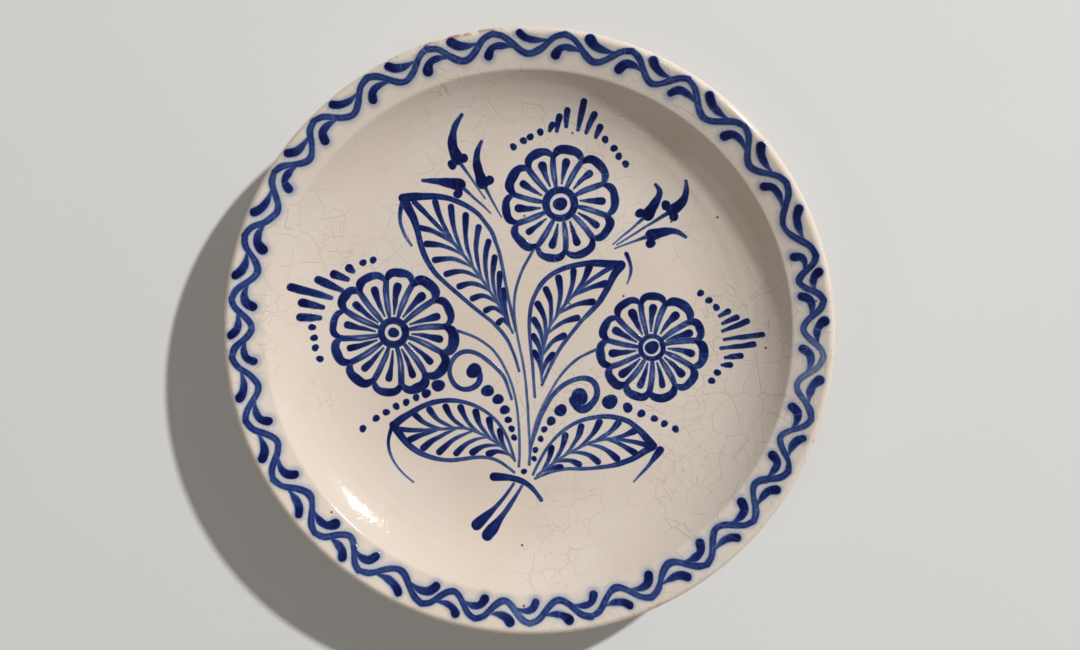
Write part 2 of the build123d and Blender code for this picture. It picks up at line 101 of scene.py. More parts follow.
class Shader:
    """A material's nodes under construction."""

    def __init__(self, name: str) -> None:
        """Start an empty material of that name.

        Args:
            name: what to call the material.
        """
        self.material = bpy.data.materials.new(name)
        self.material.use_nodes = True
        self.tree = self.material.node_tree
        self.tree.nodes.clear()

    def node(
        self,
        kind: str,
        settings: dict[str, Any] | None = None,
        values: dict[str | int, Any] | None = None,
    ) -> bpy.types.Node:
        """Add a node.

        Args:
            kind: the node's type.
            settings: its options, set first; "stops" holds a ramp's (place, colour) pairs.
            values: what its inputs hold or are linked to, by name or index.

        Returns:
            The new node.
        """
        made = self.tree.nodes.new(kind)
        for option, value in (settings or {}).items():
            if option == "stops":
                self.set_stops(made.color_ramp, value)
            else:
                setattr(made, option, value)
        for socket, value in (values or {}).items():
            self.feed(made.inputs[socket], value)
        return made

    def set_stops(self, ramp: bpy.types.ColorRamp, stops: Sequence[tuple[float, Colour]]) -> None:
        """Give a ramp its stops.

        Args:
            ramp: the ramp, which starts with two stops.
            stops: places from 0 to 1 and their colours, in order.
        """
        while len(ramp.elements) < len(stops):
            ramp.elements.new(1.0)
        for element, (place, colour) in zip(ramp.elements, stops):
            element.position = place
            element.color = (*colour, 1.0)

    def feed(self, socket: bpy.types.NodeSocket, value: Any) -> None:
        """Link a signal to an input, or set the input to a number, vector or colour.

        Args:
            socket: the input.
            value: the signal, number, vector or colour.
        """
        if isinstance(value, Signal):
            self.tree.links.new(value.socket, socket)
        elif socket.type == "RGBA" and len(value) == 3:
            socket.default_value = (*value, 1.0)
        else:
            socket.default_value = value

    def out(self, node: bpy.types.Node, output: str | int = 0) -> Signal:
        """One output of a node as a signal."""
        return Signal(self, node.outputs[output])

    def maths(self, operation: str, *terms: "Signal | float") -> Signal:
        """A sum on numbers, as one Math node."""
        return self.out(self.node("ShaderNodeMath", {"operation": operation}, dict(enumerate(terms))))

    def vector_maths(self, operation: str, *terms: Any, output: str = "Vector") -> Signal:
        """A sum on vectors, as one Vector Math node."""
        node = self.node("ShaderNodeVectorMath", {"operation": operation}, dict(enumerate(terms)))
        return self.out(node, output)

    def blend(self, share: Any, first: Any, second: Any, mode: str = "MIX") -> Signal:
        """Mix two colours.

        Args:
            share: how much of the second colour, from 0 to 1.
            first: the colour at 0.
            second: the colour at 1, or the one that the mode works with.
            mode: the way of mixing.

        Returns:
            The mixed colour.
        """
        settings = {"data_type": "RGBA", "blend_type": mode}
        return self.out(self.node("ShaderNodeMix", settings, {0: share, 6: first, 7: second}), 2)

    def noise(self, where: Signal, scale: float, detail: float = 2.0, rough: float = 0.5) -> Signal:
        """Cloudy noise around 0.5, as a number."""
        values = {"Vector": where, "Scale": scale, "Detail": detail, "Roughness": rough}
        return self.out(self.node("ShaderNodeTexNoise", None, values), 0)

    def wander(self, where: Signal, scale: float, reach: float) -> Signal:
        """The same place pushed about by up to about half of reach.

        Args:
            where: the place.
            scale: how close together the pushes are.
            reach: their size in metres.

        Returns:
            The pushed place.
        """
        push = self.node("ShaderNodeTexNoise", None, {"Vector": where, "Scale": scale, "Detail": 2.0})
        scaled = self.vector_maths("MULTIPLY", self.out(push, 1), (reach, reach, reach))
        return self.vector_maths("ADD", where, scaled)

    def ramp(self, value: Signal, low: float, high: float, start: float = 0.0, end: float = 1.0) -> Signal:
        """Turn a number smoothly from start to end as it goes from low to high."""
        values = {"Value": value, "From Min": low, "From Max": high, "To Min": start, "To Max": end}
        return self.out(self.node("ShaderNodeMapRange", {"interpolation_type": "SMOOTHSTEP"}, values))

    def place(self) -> Signal:
        """Where on the object the surface is, in metres."""
        return self.out(self.node("ShaderNodeTexCoord"), "Object")

    def radius(self, where: Signal) -> Signal:
        """Distance from the plate's axis."""
        flat = self.vector_maths("MULTIPLY", where, (1.0, 1.0, 0.0))
        return self.vector_maths("LENGTH", flat, output="Value")

    def stored(self, name: str, output: str = "Fac") -> Signal:
        """A value that the mesh holds at its vertices."""
        settings = {"attribute_type": "GEOMETRY", "attribute_name": name}
        return self.out(self.node("ShaderNodeAttribute", settings), output)

    def bump(self, height: Signal, distance: float, strength: float = 1.0) -> Signal:
        """A normal bent by a height field that reaches that distance in metres."""
        values = {"Strength": strength, "Distance": distance, "Height": height}
        return self.out(self.node("ShaderNodeBump", None, values), "Normal")

    def finish(self, **inputs: Any) -> bpy.types.Material:
        """Close the material with a Principled shader.

        Args:
            inputs: its sockets by name, with spaces written as underscores.

        Returns:
            The finished material.
        """
        values = {name.replace("_", " "): value for name, value in inputs.items()}
        surface = self.out(self.node("ShaderNodeBsdfPrincipled", None, values))
        self.node("ShaderNodeOutputMaterial", None, {"Surface": surface})
        return self.material


# ---------------------------------------------------------------- finishes
class Slot(Enum):
    """The material slots."""

    CLAY = "clay"
    FOOT = "foot_clay"
    FACE = "face_glaze"
    BACK = "back_glaze"
    BORDER = "border_cobalt"
    BOUQUET = "bouquet_cobalt"


@dataclass(frozen=True)
class PaintedGlaze:
    """Warm white glaze, finely crazed, with cobalt in it where the mesh says so.

    The mesh holds the cobalt's density as "cobalt", and "brush": how far along and across its
    stroke each vertex is, in millimetres, and a number for the stroke.
    """

    body: Colour = (0.77, 0.675, 0.585)
    thick: Colour = (0.79, 0.72, 0.65)
    thin: Colour = (0.73, 0.61, 0.505)
    crack: Colour = (0.50, 0.42, 0.35)
    speck: Colour = (0.09, 0.045, 0.03)
    rust: Colour = (0.34, 0.15, 0.075)
    dust: Colour = (0.30, 0.27, 0.25)
    absorbs: Colour = (4.7, 3.4, 1.38)
    deepens: Colour = (0.2, 0.25, 0.20)
    full_density: float = 1.9
    crack_cell: float = 0.0125
    crack_width: float = 0.00029
    lip_start: float = 0.1466
    lip_end: float = 0.1494
    gloss: float = 0.075
    worn_side: float = 107.0

    def crazing(self, shader: Shader, where: Signal) -> Signal:
        """Fine cracks, in patches.

        Args:
            shader: the material under construction.
            where: the place on the surface.

        Returns:
            1 on a crack and 0 off it.
        """
        bent = shader.wander(where, 55.0, 0.004)
        nets = []
        for cell, patch_scale, low in ((self.crack_cell, 14.0, 0.46), (0.55 * self.crack_cell, 19.0, 0.53)):
            settings = {"feature": "DISTANCE_TO_EDGE"}
            net = shader.node("ShaderNodeTexVoronoi", settings, {"Vector": bent, "Scale": 1 / cell})
            edge = shader.out(net, "Distance")
            line = shader.ramp(edge, 0.0, self.crack_width / cell, 1.0, 0.0)
            patch = shader.ramp(shader.noise(where, patch_scale, 3.0), low, low + 0.12)
            nets.append(line * patch)
        broken = shader.ramp(shader.noise(where, 190.0, 2.0), 0.34, 0.50)
        return nets[0].larger(nets[1]) * broken

    def specks(self, shader: Shader, where: Signal) -> Signal:
        """A few burnt specks and pinholes: 1 on a speck and 0 off it.

        Args:
            shader: the material under construction.
            where: the place on the surface.

        Returns:
            1 on a speck and 0 off it.
        """
        settings = {"voronoi_dimensions": "2D"}
        spread = shader.node("ShaderNodeTexVoronoi", settings, {"Vector": where, "Scale": 42.0})
        chosen = shader.node("ShaderNodeSeparateColor", None, {0: shader.out(spread, "Color")})
        near = shader.ramp(shader.out(spread, "Distance"), 0.018, 0.034, 1.0, 0.0)
        return near * shader.ramp(shader.out(chosen, 0), 0.83, 0.84)

    def density(self, shader: Shader, where: Signal) -> Signal:
        """How much cobalt there is, from the stored density, uneven as a brush leaves it.

        Args:
            shader: the material under construction.
            where: the place on the surface.

        Returns:
            The density.
        """
        brush = shader.stored("brush", "Vector")
        hairs = shader.vector_maths("MULTIPLY", brush, (0.11, 2.1, 1.0))
        streaks = shader.noise(hairs, 1.0, 3.0, 0.6)
        pools = shader.noise(where, 420.0, 3.0, 0.6)
        cobalt = shader.stored("cobalt")
        uneven = 0.20 + 0.95 * streaks + 0.70 * pools
        return cobalt * uneven

    def material(self, name: str) -> bpy.types.Material:
        """Build the glaze.

        Args:
            name: what to call the material.

        Returns:
            The material.
        """
        shader = Shader(name)
        where = shader.place()
        cracks = self.crazing(shader, where)
        specks = self.specks(shader, where)
        cloud = shader.ramp(shader.noise(where, 13.0, 4.0, 0.55), 0.36, 0.66)
        thin_spots = shader.ramp(shader.noise(where, 34.0, 4.0, 0.6), 0.52, 0.74)
        colour = shader.blend(cloud, self.body, self.thick)
        colour = shader.blend(0.34 * thin_spots, colour, self.thin)
        radius = shader.radius(where)
        lip = shader.ramp(radius, self.lip_start, self.lip_end)
        colour = shader.blend(0.30 * lip, colour, self.thin)
        worn = shader.ramp(shader.noise(where, 130.0, 5.0, 0.7), 0.57, 0.66)
        worn_patch = shader.ramp(shader.noise(where, 19.0, 2.0), 0.50, 0.62)
        side = (cos(radians(self.worn_side)), sin(radians(self.worn_side)), 0.0)
        towards = shader.vector_maths("DOT_PRODUCT", where, side, output="Value")
        rubbed = shader.ramp(towards, 0.1435, 0.1480)
        rubbed = rubbed * shader.ramp(shader.noise(where, 150.0, 4.0), 0.46, 0.56)
        rust = lip * (worn * worn_patch).larger(rubbed)
        colour = shader.blend(0.80 * rust, colour, self.rust)
        flange = shader.ramp(radius, self.lip_start - 0.004, self.lip_start)
        grime = shader.ramp(shader.noise(where, 620.0, 3.0, 0.7), 0.58, 0.72) * worn_patch * flange
        colour = shader.blend(0.40 * grime, colour, self.dust)
        colour = shader.blend(0.42 * cracks, colour, self.crack)
        density = self.density(shader, where) * (1 - 0.45 * cracks)
        stops = []
        for place in (0.0, 0.05, 0.12, 0.22, 0.34, 0.5, 0.7, 1.0):
            reach = place * self.full_density
            parts = zip(self.absorbs, self.deepens)
            stops.append((place, tuple(exp(-reach * first - reach**2 * second) for first, second in parts)))
        tint = shader.node("ShaderNodeValToRGB", {"stops": stops}, {0: density * (1 / self.full_density)})
        colour = shader.blend(1.0, colour, shader.out(tint), "MULTIPLY")
        colour = shader.blend(0.9 * specks, colour, self.speck)
        peel = shader.noise(where, 330.0, 2.0)
        fine = shader.noise(where, 1500.0, 2.0)
        height = 0.55 * peel + 0.10 * fine - 0.7 * cracks - 0.8 * specks - 0.35 * rust
        rough = self.gloss + 0.06 * shader.noise(where, 120.0, 3.0) + 0.35 * rust + 0.10 * cracks
        return shader.finish(
            Base_Color=colour,
            Roughness=rough,
            Normal=shader.bump(height, 0.00012, 0.8),
            IOR=1.46,
            Specular_IOR_Level=0.38,
        )


@dataclass(frozen=True)
class BackGlaze:
    """The same glaze on the back: thinner, so that the clay warms it, with pinholes and turning lines."""

    body: Colour = (0.74, 0.64, 0.54)
    thin: Colour = (0.62, 0.46, 0.34)
    speck: Colour = (0.10, 0.05, 0.035)
    line_pitch: float = 0.0032
    gloss: float = 0.2

    def material(self, name: str) -> bpy.types.Material:
        """Build the back's glaze under that name.

        Args:
            name: what to call the material.

        Returns:
            The material.
        """
        shader = Shader(name)
        where = shader.place()
        radius = shader.radius(shader.wander(where, 40.0, 0.0012))
        turning = shader.maths("SINE", radius * (2 * pi / self.line_pitch)) * 0.5 + 0.5
        cloud = shader.ramp(shader.noise(where, 21.0, 4.0, 0.6), 0.42, 0.70)
        pin = shader.node("ShaderNodeTexVoronoi", None, {"Vector": where, "Scale": 160.0})
        pinholes = shader.ramp(shader.out(pin, "Distance"), 0.05, 0.09, 1.0, 0.0)
        sparse = shader.ramp(shader.noise(where, 60.0, 2.0), 0.55, 0.62)
        pinholes = pinholes * sparse
        colour = shader.blend(0.55 * cloud, self.body, self.thin)
        colour = shader.blend(0.14 * turning, colour, self.thin)
        colour = shader.blend(0.85 * pinholes, colour, self.speck)
        height = 0.5 * turning + 0.3 * shader.noise(where, 300.0, 2.0) - pinholes
        return shader.finish(
            Base_Color=colour,
            Roughness=self.gloss + 0.18 * cloud,
            Normal=shader.bump(height, 0.00016, 0.7),
            IOR=1.5,
        )


@dataclass(frozen=True)
class BareClay:
    """Unglazed fired earthenware: buff to pink, gritty, with turning lines and rubbed high spots."""

    body: Colour = (0.58, 0.36, 0.235)
    pale: Colour = (0.70, 0.50, 0.36)
    grit: Colour = (0.24, 0.12, 0.075)
    soot: Colour = (0.30, 0.22, 0.17)
    line_pitch: float = 0.0016

    def material(self, name: str) -> bpy.types.Material:
        """Build the clay under that name.

        Args:
            name: what to call the material.

        Returns:
            The material.
        """
        shader = Shader(name)
        where = shader.place()
        radius = shader.radius(shader.wander(where, 30.0, 0.0009))
        turning = shader.maths("SINE", radius * (2 * pi / self.line_pitch)) * 0.5 + 0.5
        cloud = shader.ramp(shader.noise(where, 26.0, 5.0, 0.6), 0.38, 0.66)
        grain = shader.noise(where, 900.0, 4.0, 0.7)
        grit = shader.ramp(shader.noise(where, 520.0, 2.0), 0.66, 0.72)
        rubbed = shader.ramp(shader.noise(where, 75.0, 4.0, 0.6), 0.55, 0.72)
        colour = shader.blend(cloud, self.body, self.pale)
        colour = shader.blend(0.22 * turning, colour, self.pale)
        colour = shader.blend(0.35 * rubbed, colour, self.soot)
        colour = shader.blend(0.7 * grit, colour, self.grit)
        height = 0.5 * turning + 0.6 * grain - 0.7 * grit
        return shader.finish(
            Base_Color=colour,
            Roughness=0.78 + 0.16 * grain,
            Normal=shader.bump(height, 0.00022, 0.8),
            IOR=1.45,
        )


@dataclass(frozen=True)
class StudioFloor:
    """Plain matt paper, almost white."""

    paper: Colour = (0.80, 0.825, 0.83)
    shade: Colour = (0.79, 0.815, 0.82)

    def material(self, name: str) -> bpy.types.Material:
        """Build the paper under that name.

        Args:
            name: what to call the material.

        Returns:
            The material.
        """
        shader = Shader(name)
        where = shader.place()
        cloud = shader.ramp(shader.noise(where, 5.0, 3.0), 0.35, 0.65)
        colour = shader.blend(cloud, self.paper, self.shade)
        fibre = shader.noise(where, 700.0, 3.0)
        return shader.finish(Base_Color=colour, Roughness=0.9, Normal=shader.bump(fibre, 0.0001, 0.3))


# ---------------------------------------------------------------- the plate's section
@dataclass
class Section:
    """The plate's section, from which every surface is turned.

    Slopes are those of the surface going outwards: the flange rises at its slope, the lip turns over
    to the slope of its underside, and the back rises from the foot ring.
    """

    plate_radius: float = field(default_factory=lambda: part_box("face_glaze")[1].x)
    foot_height: float = field(default_factory=lambda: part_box("base_glaze")[0].z)
    foot_radius: float = field(default_factory=lambda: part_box("foot_ring")[1].x)
    foot_inside: float = field(default_factory=lambda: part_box("base_glaze")[1].x)
    floor_thickness: float = 0.0076
    flange_width: float = 0.020
    flange_slope: float = 18.0
    lip_radius: float = 0.003
    ridge_round: float = 0.004
    cove_width: float = 0.027
    cove_curve: float = 0.057
    dish_width: float = 0.023
    dish_curve: float = 0.092
    back_slope: float = 5.0
    glaze: float = 0.0004
    table_fineness: int = 40

    def __post_init__(self) -> None:
        """Work out where the stretches of the section meet."""
        self.ridge_radius = self.plate_radius - self.flange_width
        self.dish_radius = self.ridge_radius - self.cove_width
        self.floor_radius = self.dish_radius - self.dish_width
        self.floor_height = self.foot_height + self.floor_thickness
        self.dish_slope = degrees(asin(self.dish_width / self.dish_curve))
        self.dish_centre = (self.floor_radius, self.floor_height + self.dish_curve)
        drop = self.dish_curve - self.cove_curve
        self.cove_centre = self.on_arc(self.dish_centre, drop, self.dish_slope)
        end = degrees(asin((self.ridge_radius - self.cove_centre[0]) / self.cove_curve))
        self.ridge_height = self.cove_centre[1] - self.cove_curve * cos(radians(end))
        rise = (self.plate_radius - self.lip_radius - self.ridge_radius) * tan(radians(self.flange_slope))
        drop = self.lip_radius / cos(radians(self.flange_slope))
        self.lip_centre = (self.plate_radius - self.lip_radius, self.ridge_height + rise - drop)
        ridge = (self.ridge_radius, self.ridge_height)
        below = self.on_arc(ridge, self.ridge_round, self.flange_slope)
        reach = self.cove_curve + self.ridge_round
        self.ridge_centre = self.crossing(self.cove_centre, reach, below, self.flange_slope)
        self.ridge_slope = self.slope_at(self.cove_centre, self.ridge_centre)
        self.under_slope = self.flange_slope - 180
        rise = self.ridge_height - self.lip_radius - self.foot_height
        reach = hypot(self.ridge_radius + 2 * self.lip_radius - self.foot_radius, rise)
        bend = 2 * (degrees(asin(rise / reach)) - self.back_slope)
        self.back_curve = reach / (2 * sin(radians(bend / 2)))
        start = (self.foot_radius, self.foot_height)
        self.back_centre = self.on_arc(start, -self.back_curve, self.back_slope)
        under_lip = self.on_arc(self.lip_centre, -self.lip_radius, self.under_slope)
        corner = self.crossing(self.back_centre, self.back_curve, under_lip, self.flange_slope)
        self.back_end_slope = self.slope_at(self.back_centre, corner)
        self.table = self.face(0.0, self.table_fineness)

    @staticmethod
    def on_arc(centre: Point, reach: float, slope: float) -> Point:
        """The place below a centre, at a distance, where the surface has that slope."""
        return (centre[0] + reach * sin(radians(slope)), centre[1] - reach * cos(radians(slope)))

    @staticmethod
    def crossing(centre: Point, radius: float, start: Point, slope: float) -> Point:
        """Where a line crosses a circle.

        Args:
            centre: the circle's centre.
            radius: its radius.
            start: a place on the line.
            slope: the line's slope.

        Returns:
            The crossing nearest to the start.
        """
        along = (cos(radians(slope)), sin(radians(slope)))
        offset = (start[0] - centre[0], start[1] - centre[1])
        half = offset[0] * along[0] + offset[1] * along[1]
        reach = sqrt(half**2 - offset[0] ** 2 - offset[1] ** 2 + radius**2)
        travel = min((-half - reach, -half + reach), key=abs)
        return (start[0] + travel * along[0], start[1] + travel * along[1])

    @staticmethod
    def slope_at(centre: Point, place: Point) -> float:
        """Slope of a hollow arc about a centre, at a place on it."""
        return degrees(asin((place[0] - centre[0]) / hypot(place[0] - centre[0], place[1] - centre[1])))

    def face(self, depth: float, fineness: float) -> tuple[np.ndarray, np.ndarray, np.ndarray]:
        """The face's line from the axis out over the lip to its underside.

        Args:
            depth: how far under the glaze's surface the line lies.
            fineness: how many points there are, as a multiple of the usual number.

        Returns:
            The radius, height and slope of each point.
        """
        turns = (
            (self.dish_centre, self.dish_curve, 0.0, self.dish_slope, 9),
            (self.cove_centre, self.cove_curve, self.dish_slope, self.ridge_slope, 22),
            (self.ridge_centre, -self.ridge_round, self.ridge_slope, self.flange_slope, 7),
            (self.lip_centre, -self.lip_radius, self.flange_slope, self.under_slope, 24),
        )
        floor = np.linspace(0.0, self.floor_radius, int(24 * fineness))[:-1]
        level = np.full_like(floor, self.floor_height - depth)
        lines = [np.stack([floor, level, np.zeros_like(floor)])]
        for centre, curve, start, end, count in turns:
            slopes = np.linspace(start, end, max(3, int(count * fineness)))
            reach = curve + depth
            radii = centre[0] + reach * np.sin(np.radians(slopes))
            heights = centre[1] - reach * np.cos(np.radians(slopes))
            if centre is self.lip_centre:
                lines.append(self.straight(lines[-1][:, -1], (radii[0], heights[0]), int(18 * fineness)))
                lines[-1][2] = self.flange_slope
            repeated = 1 if len(lines) > 1 else 0
            lines.append(np.stack([radii, heights, slopes])[:, repeated:])
        radii, heights, slopes = np.concatenate(lines, axis=1)
        return radii, heights, slopes

    @staticmethod
    def straight(start: np.ndarray, end: Point, count: int) -> np.ndarray:
        """Points after the start and up to the end of a straight stretch.

        Args:
            start: radius and height of its start.
            end: radius and height of its end.
            count: how many points it has, with the start.

        Returns:
            Radii, heights, and a third row with room for a slope.
        """
        shares = np.linspace(0.0, 1.0, max(3, count))[1:]
        radii = start[0] + (end[0] - start[0]) * shares
        heights = start[1] + (end[1] - start[1]) * shares
        return np.stack([radii, heights, shares])

    def back(self, depth: float, count: int) -> tuple[np.ndarray, np.ndarray]:
        """The back's line from the foot ring to the underside of the lip.

        Args:
            depth: how far under the glaze's surface the line lies.
            count: how many points its curve has.

        Returns:
            The radius and height of each point.
        """
        reach = self.back_curve - depth
        under_lip = self.on_arc(self.lip_centre, -self.lip_radius + depth, self.under_slope)
        corner = self.crossing(self.back_centre, reach, under_lip, self.flange_slope)
        first = degrees(asin((self.foot_radius - self.back_centre[0]) / reach))
        slopes = np.radians(np.linspace(first, self.slope_at(self.back_centre, corner), count))
        radii = self.back_centre[0] + reach * np.sin(slopes)
        heights = self.back_centre[1] - reach * np.cos(slopes)
        end = self.straight(np.array([radii[-1], heights[-1]]), under_lip, max(3, count // 4))
        return np.concatenate([radii, end[0]]), np.concatenate([heights, end[1]])

    def relief(self, radii: np.ndarray, bearings: np.ndarray) -> np.ndarray:
        """How far the hand-turned face lies under the true section.

        Args:
            radii: distances from the axis.
            bearings: angles about it, in radians.

        Returns:
            Depths in metres, none of them negative.
        """
        share = radii / self.plate_radius
        sway = 0.5 + 0.25 * np.sin(2 * bearings + 0.9 + 2.2 * share) + 0.25 * np.sin(3 * bearings - 1.4)
        cove = np.exp(-(((radii - self.dish_radius - 0.008) / 0.021) ** 2))
        fingers = 0.5 + 0.5 * np.sin(2 * pi * (radii / 0.0062 + 0.35 * np.sin(bearings + 0.6)))
        edge = np.clip((self.plate_radius - radii) / 0.006, 0.0, 1.0)
        return edge * (0.16 * MM * sway * share + 0.050 * MM * cove * fingers)

    def surface(self, places: np.ndarray, above: np.ndarray) -> np.ndarray:
        """Places on the turned face.

        Args:
            places: their X and Y.
            above: how far each stands above the glaze.

        Returns:
            Their X, Y and Z.
        """
        radii = np.minimum(np.hypot(places[:, 0], places[:, 1]), self.plate_radius - 0.0004)
        bearings = np.arctan2(places[:, 1], places[:, 0])
        top = int(np.argmax(self.table[0]))
        heights = np.interp(radii, self.table[0][:top], self.table[1][:top])
        slopes = np.radians(np.interp(radii, self.table[0][:top], self.table[2][:top]))
        lift = above - self.relief(radii, bearings)
        outwards = np.stack([np.cos(bearings), np.sin(bearings)], axis=1)
        flat = outwards * (radii - lift * np.sin(slopes))[:, None]
        return np.concatenate([flat, (heights + lift * np.cos(slopes))[:, None]], axis=1)


# ---------------------------------------------------------------- meshes
def make_object(name: str, places: np.ndarray, faces: list, material: bpy.types.Material) -> bpy.types.Object:
    """Make a smooth mesh object that rides on the plate.

    Args:
        name: the piece's name.
        places: its vertices.
        faces: its faces, as tuples of vertex numbers.
        material: what it is made of.

    Returns:
        The object.
    """
    mesh = bpy.data.meshes.new(name)
    mesh.from_pydata(places.tolist(), [], faces)
    mesh.polygons.foreach_set("use_smooth", np.ones(len(mesh.polygons), bool))
    mesh.materials.append(material)
    mesh.update()
    made = bpy.data.objects.new(name, mesh)
    bpy.context.scene.collection.objects.link(made)
    return made


def store(made: bpy.types.Object, name: str, values: np.ndarray) -> None:
    """Keep a number or a vector at each vertex of a mesh.

    Args:
        made: the object.
        name: what materials call the value.
        values: one number or vector for each vertex.
    """
    kind, part = ("FLOAT", "value") if values.ndim == 1 else ("FLOAT_VECTOR", "vector")
    attribute = made.data.attributes.new(name, kind, "POINT")
    attribute.data.foreach_set(part, values.astype(np.float32).ravel())


def strip(first: int, rings: int, around: int, closed: bool = False) -> list[tuple[int, ...]]:
    """Quads between rings of vertices.

    Args:
        first: number of the first vertex.
        rings: how many rings there are.
        around: how many vertices a ring has.
        closed: whether the last ring joins the first.

    Returns:
        The faces.
    """
    faces = []
    for ring in range(rings if closed else rings - 1):
        here, there = first + ring * around, first + (ring + 1) % rings * around
        for step in range(around):
            after = (step + 1) % around
            faces.append((here + step, there + step, there + after, here + after))
    return faces


def fan(tip: int, ring: int, around: int, turned: bool = False) -> list[tuple[int, ...]]:
    """Triangles that close a ring of vertices.

    Args:
        tip: number of the vertex that they share.
        ring: number of the ring's first vertex.
        around: how many vertices the ring has.
        turned: whether they face the other way.

    Returns:
        The faces.
    """
    pairs = [(ring + step, ring + (step + 1) % around) for step in range(around)]
    return [(tip, after, before) if turned else (tip, before, after) for before, after in pairs]


def stand_in(made: bpy.types.Object, node: str) -> None:
    """Let an object ride on the plate in a node's place.

    Args:
        made: the object.
        node: the node that it replaces.
    """
    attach(made, "root")
    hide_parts(node)


@dataclass
class Turned:
    """A closed mesh turned about the plate's axis from a section.

    The section is a loop, or a line that starts and ends on the axis.
    """

    radii: np.ndarray
    heights: np.ndarray
    segments: int
    shift: Callable[[np.ndarray, np.ndarray], tuple[np.ndarray, np.ndarray]] | None = None

    def build(self, name: str, material: bpy.types.Material) -> bpy.types.Object:
        """Turn the section into a mesh object.

        Args:
            name: the piece's name.
            material: what it is made of.

        Returns:
            The object.
        """
        solid = self.radii[0] == 0
        inner = slice(1, -1) if solid else slice(None)
        radii, heights = self.radii[inner], self.heights[inner]
        bearings = np.linspace(0, 2 * pi, self.segments, endpoint=False)
        grid_radii = np.repeat(radii[:, None], self.segments, axis=1)
        grid_heights = np.repeat(heights[:, None], self.segments, axis=1)
        if self.shift is not None:
            moves = self.shift(np.arange(len(radii))[:, None], bearings[None, :])
            grid_radii, grid_heights = grid_radii + moves[0], grid_heights + moves[1]
        grid = [grid_radii * np.cos(bearings), grid_radii * np.sin(bearings), grid_heights]
        places = np.stack(grid, axis=2).reshape(-1, 3)
        faces = strip(0, len(radii), self.segments, closed=not solid)
        if solid:
            ends = [(0.0, 0.0, self.heights[0]), (0.0, 0.0, self.heights[-1])]
            count = len(places)
            places = np.concatenate([places, np.array(ends)])
            faces += fan(count, 0, self.segments)
            faces += fan(count + 1, count - self.segments, self.segments, turned=True)
        return make_object(name, places, faces, material)


# ---------------------------------------------------------------- strokes of the brush
class Spine:
    """A smooth line through a few places."""

    def __init__(self, places: Sequence[Point], step: float) -> None:
        """Run a natural cubic through the places.

        Args:
            places: where the line passes.
            step: about how far apart its stations are.
        """
        knots = np.asarray(places, float)
        gaps = np.linalg.norm(np.diff(knots, axis=0), axis=1)
        travel = np.concatenate([[0.0], np.cumsum(gaps)])
        count = len(knots)
        system, pulls = np.eye(count), np.zeros((count, 2))
        for knot in range(1, count - 1):
            before, after = gaps[knot - 1], gaps[knot]
            system[knot, knot - 1 : knot + 2] = before, 2 * (before + after), after
            pulls[knot] = 6 * (knots[knot + 1] - knots[knot]) / after
            pulls[knot] -= 6 * (knots[knot] - knots[knot - 1]) / before
        bends = np.linalg.solve(system, pulls)
        stations = np.linspace(0, travel[-1], max(6, ceil(travel[-1] / step) + 1))
        span = np.clip(np.searchsorted(travel, stations, side="right") - 1, 0, count - 2)
        width = gaps[span][:, None]
        left, right = (travel[span + 1] - stations)[:, None], (stations - travel[span])[:, None]
        self.places = (
            (bends[span] * left**3 + bends[span + 1] * right**3) / (6 * width)
            + (knots[span] / width - bends[span] * width / 6) * left
            + (knots[span + 1] / width - bends[span + 1] * width / 6) * right
        )
        steps = np.linalg.norm(np.diff(self.places, axis=0), axis=1)
        self.travel = np.concatenate([[0.0], np.cumsum(steps)])
        self.length = float(self.travel[-1])

    def at(self, share: float) -> np.ndarray:
        """The place at a share of the line's length."""
        reach = share * self.length
        return np.array([np.interp(reach, self.travel, self.places[:, axis]) for axis in (0, 1)])

    def headings(self) -> np.ndarray:
        """The direction of travel at each station."""
        turn = np.gradient(self.places, axis=0)
        return turn / np.linalg.norm(turn, axis=1)[:, None]


def along(values: Sequence[float], shares: np.ndarray) -> np.ndarray:
    """Values spaced evenly along a stroke, eased from one to the next.

    Args:
        values: the values, at least two.
        shares: where to read them, from 0 to 1.

    Returns:
        The value at each share.
    """
    spans = len(values) - 1
    step = np.minimum((shares * spans).astype(int), spans - 1)
    blend = shares * spans - step
    blend = blend * blend * (3 - 2 * blend)
    table = np.asarray(values, float)
    return table[step] + (table[step + 1] - table[step]) * blend


@dataclass
class Stroke:
    """One pull of a loaded brush.

    Widths, and loads of cobalt, are spaced evenly from its start to its end. A hollow stroke has that
    share less cobalt along its middle, as a brush pressed flat leaves it.
    """

    places: Sequence[Point]
    widths: Sequence[float]
    loads: Sequence[float] = (1.0, 1.0)
    hollow: float = 0.0


@dataclass
class Dot:
    """One touch of the brush's tip."""

    place: Point
    diameter: float
    load: float = 1.15


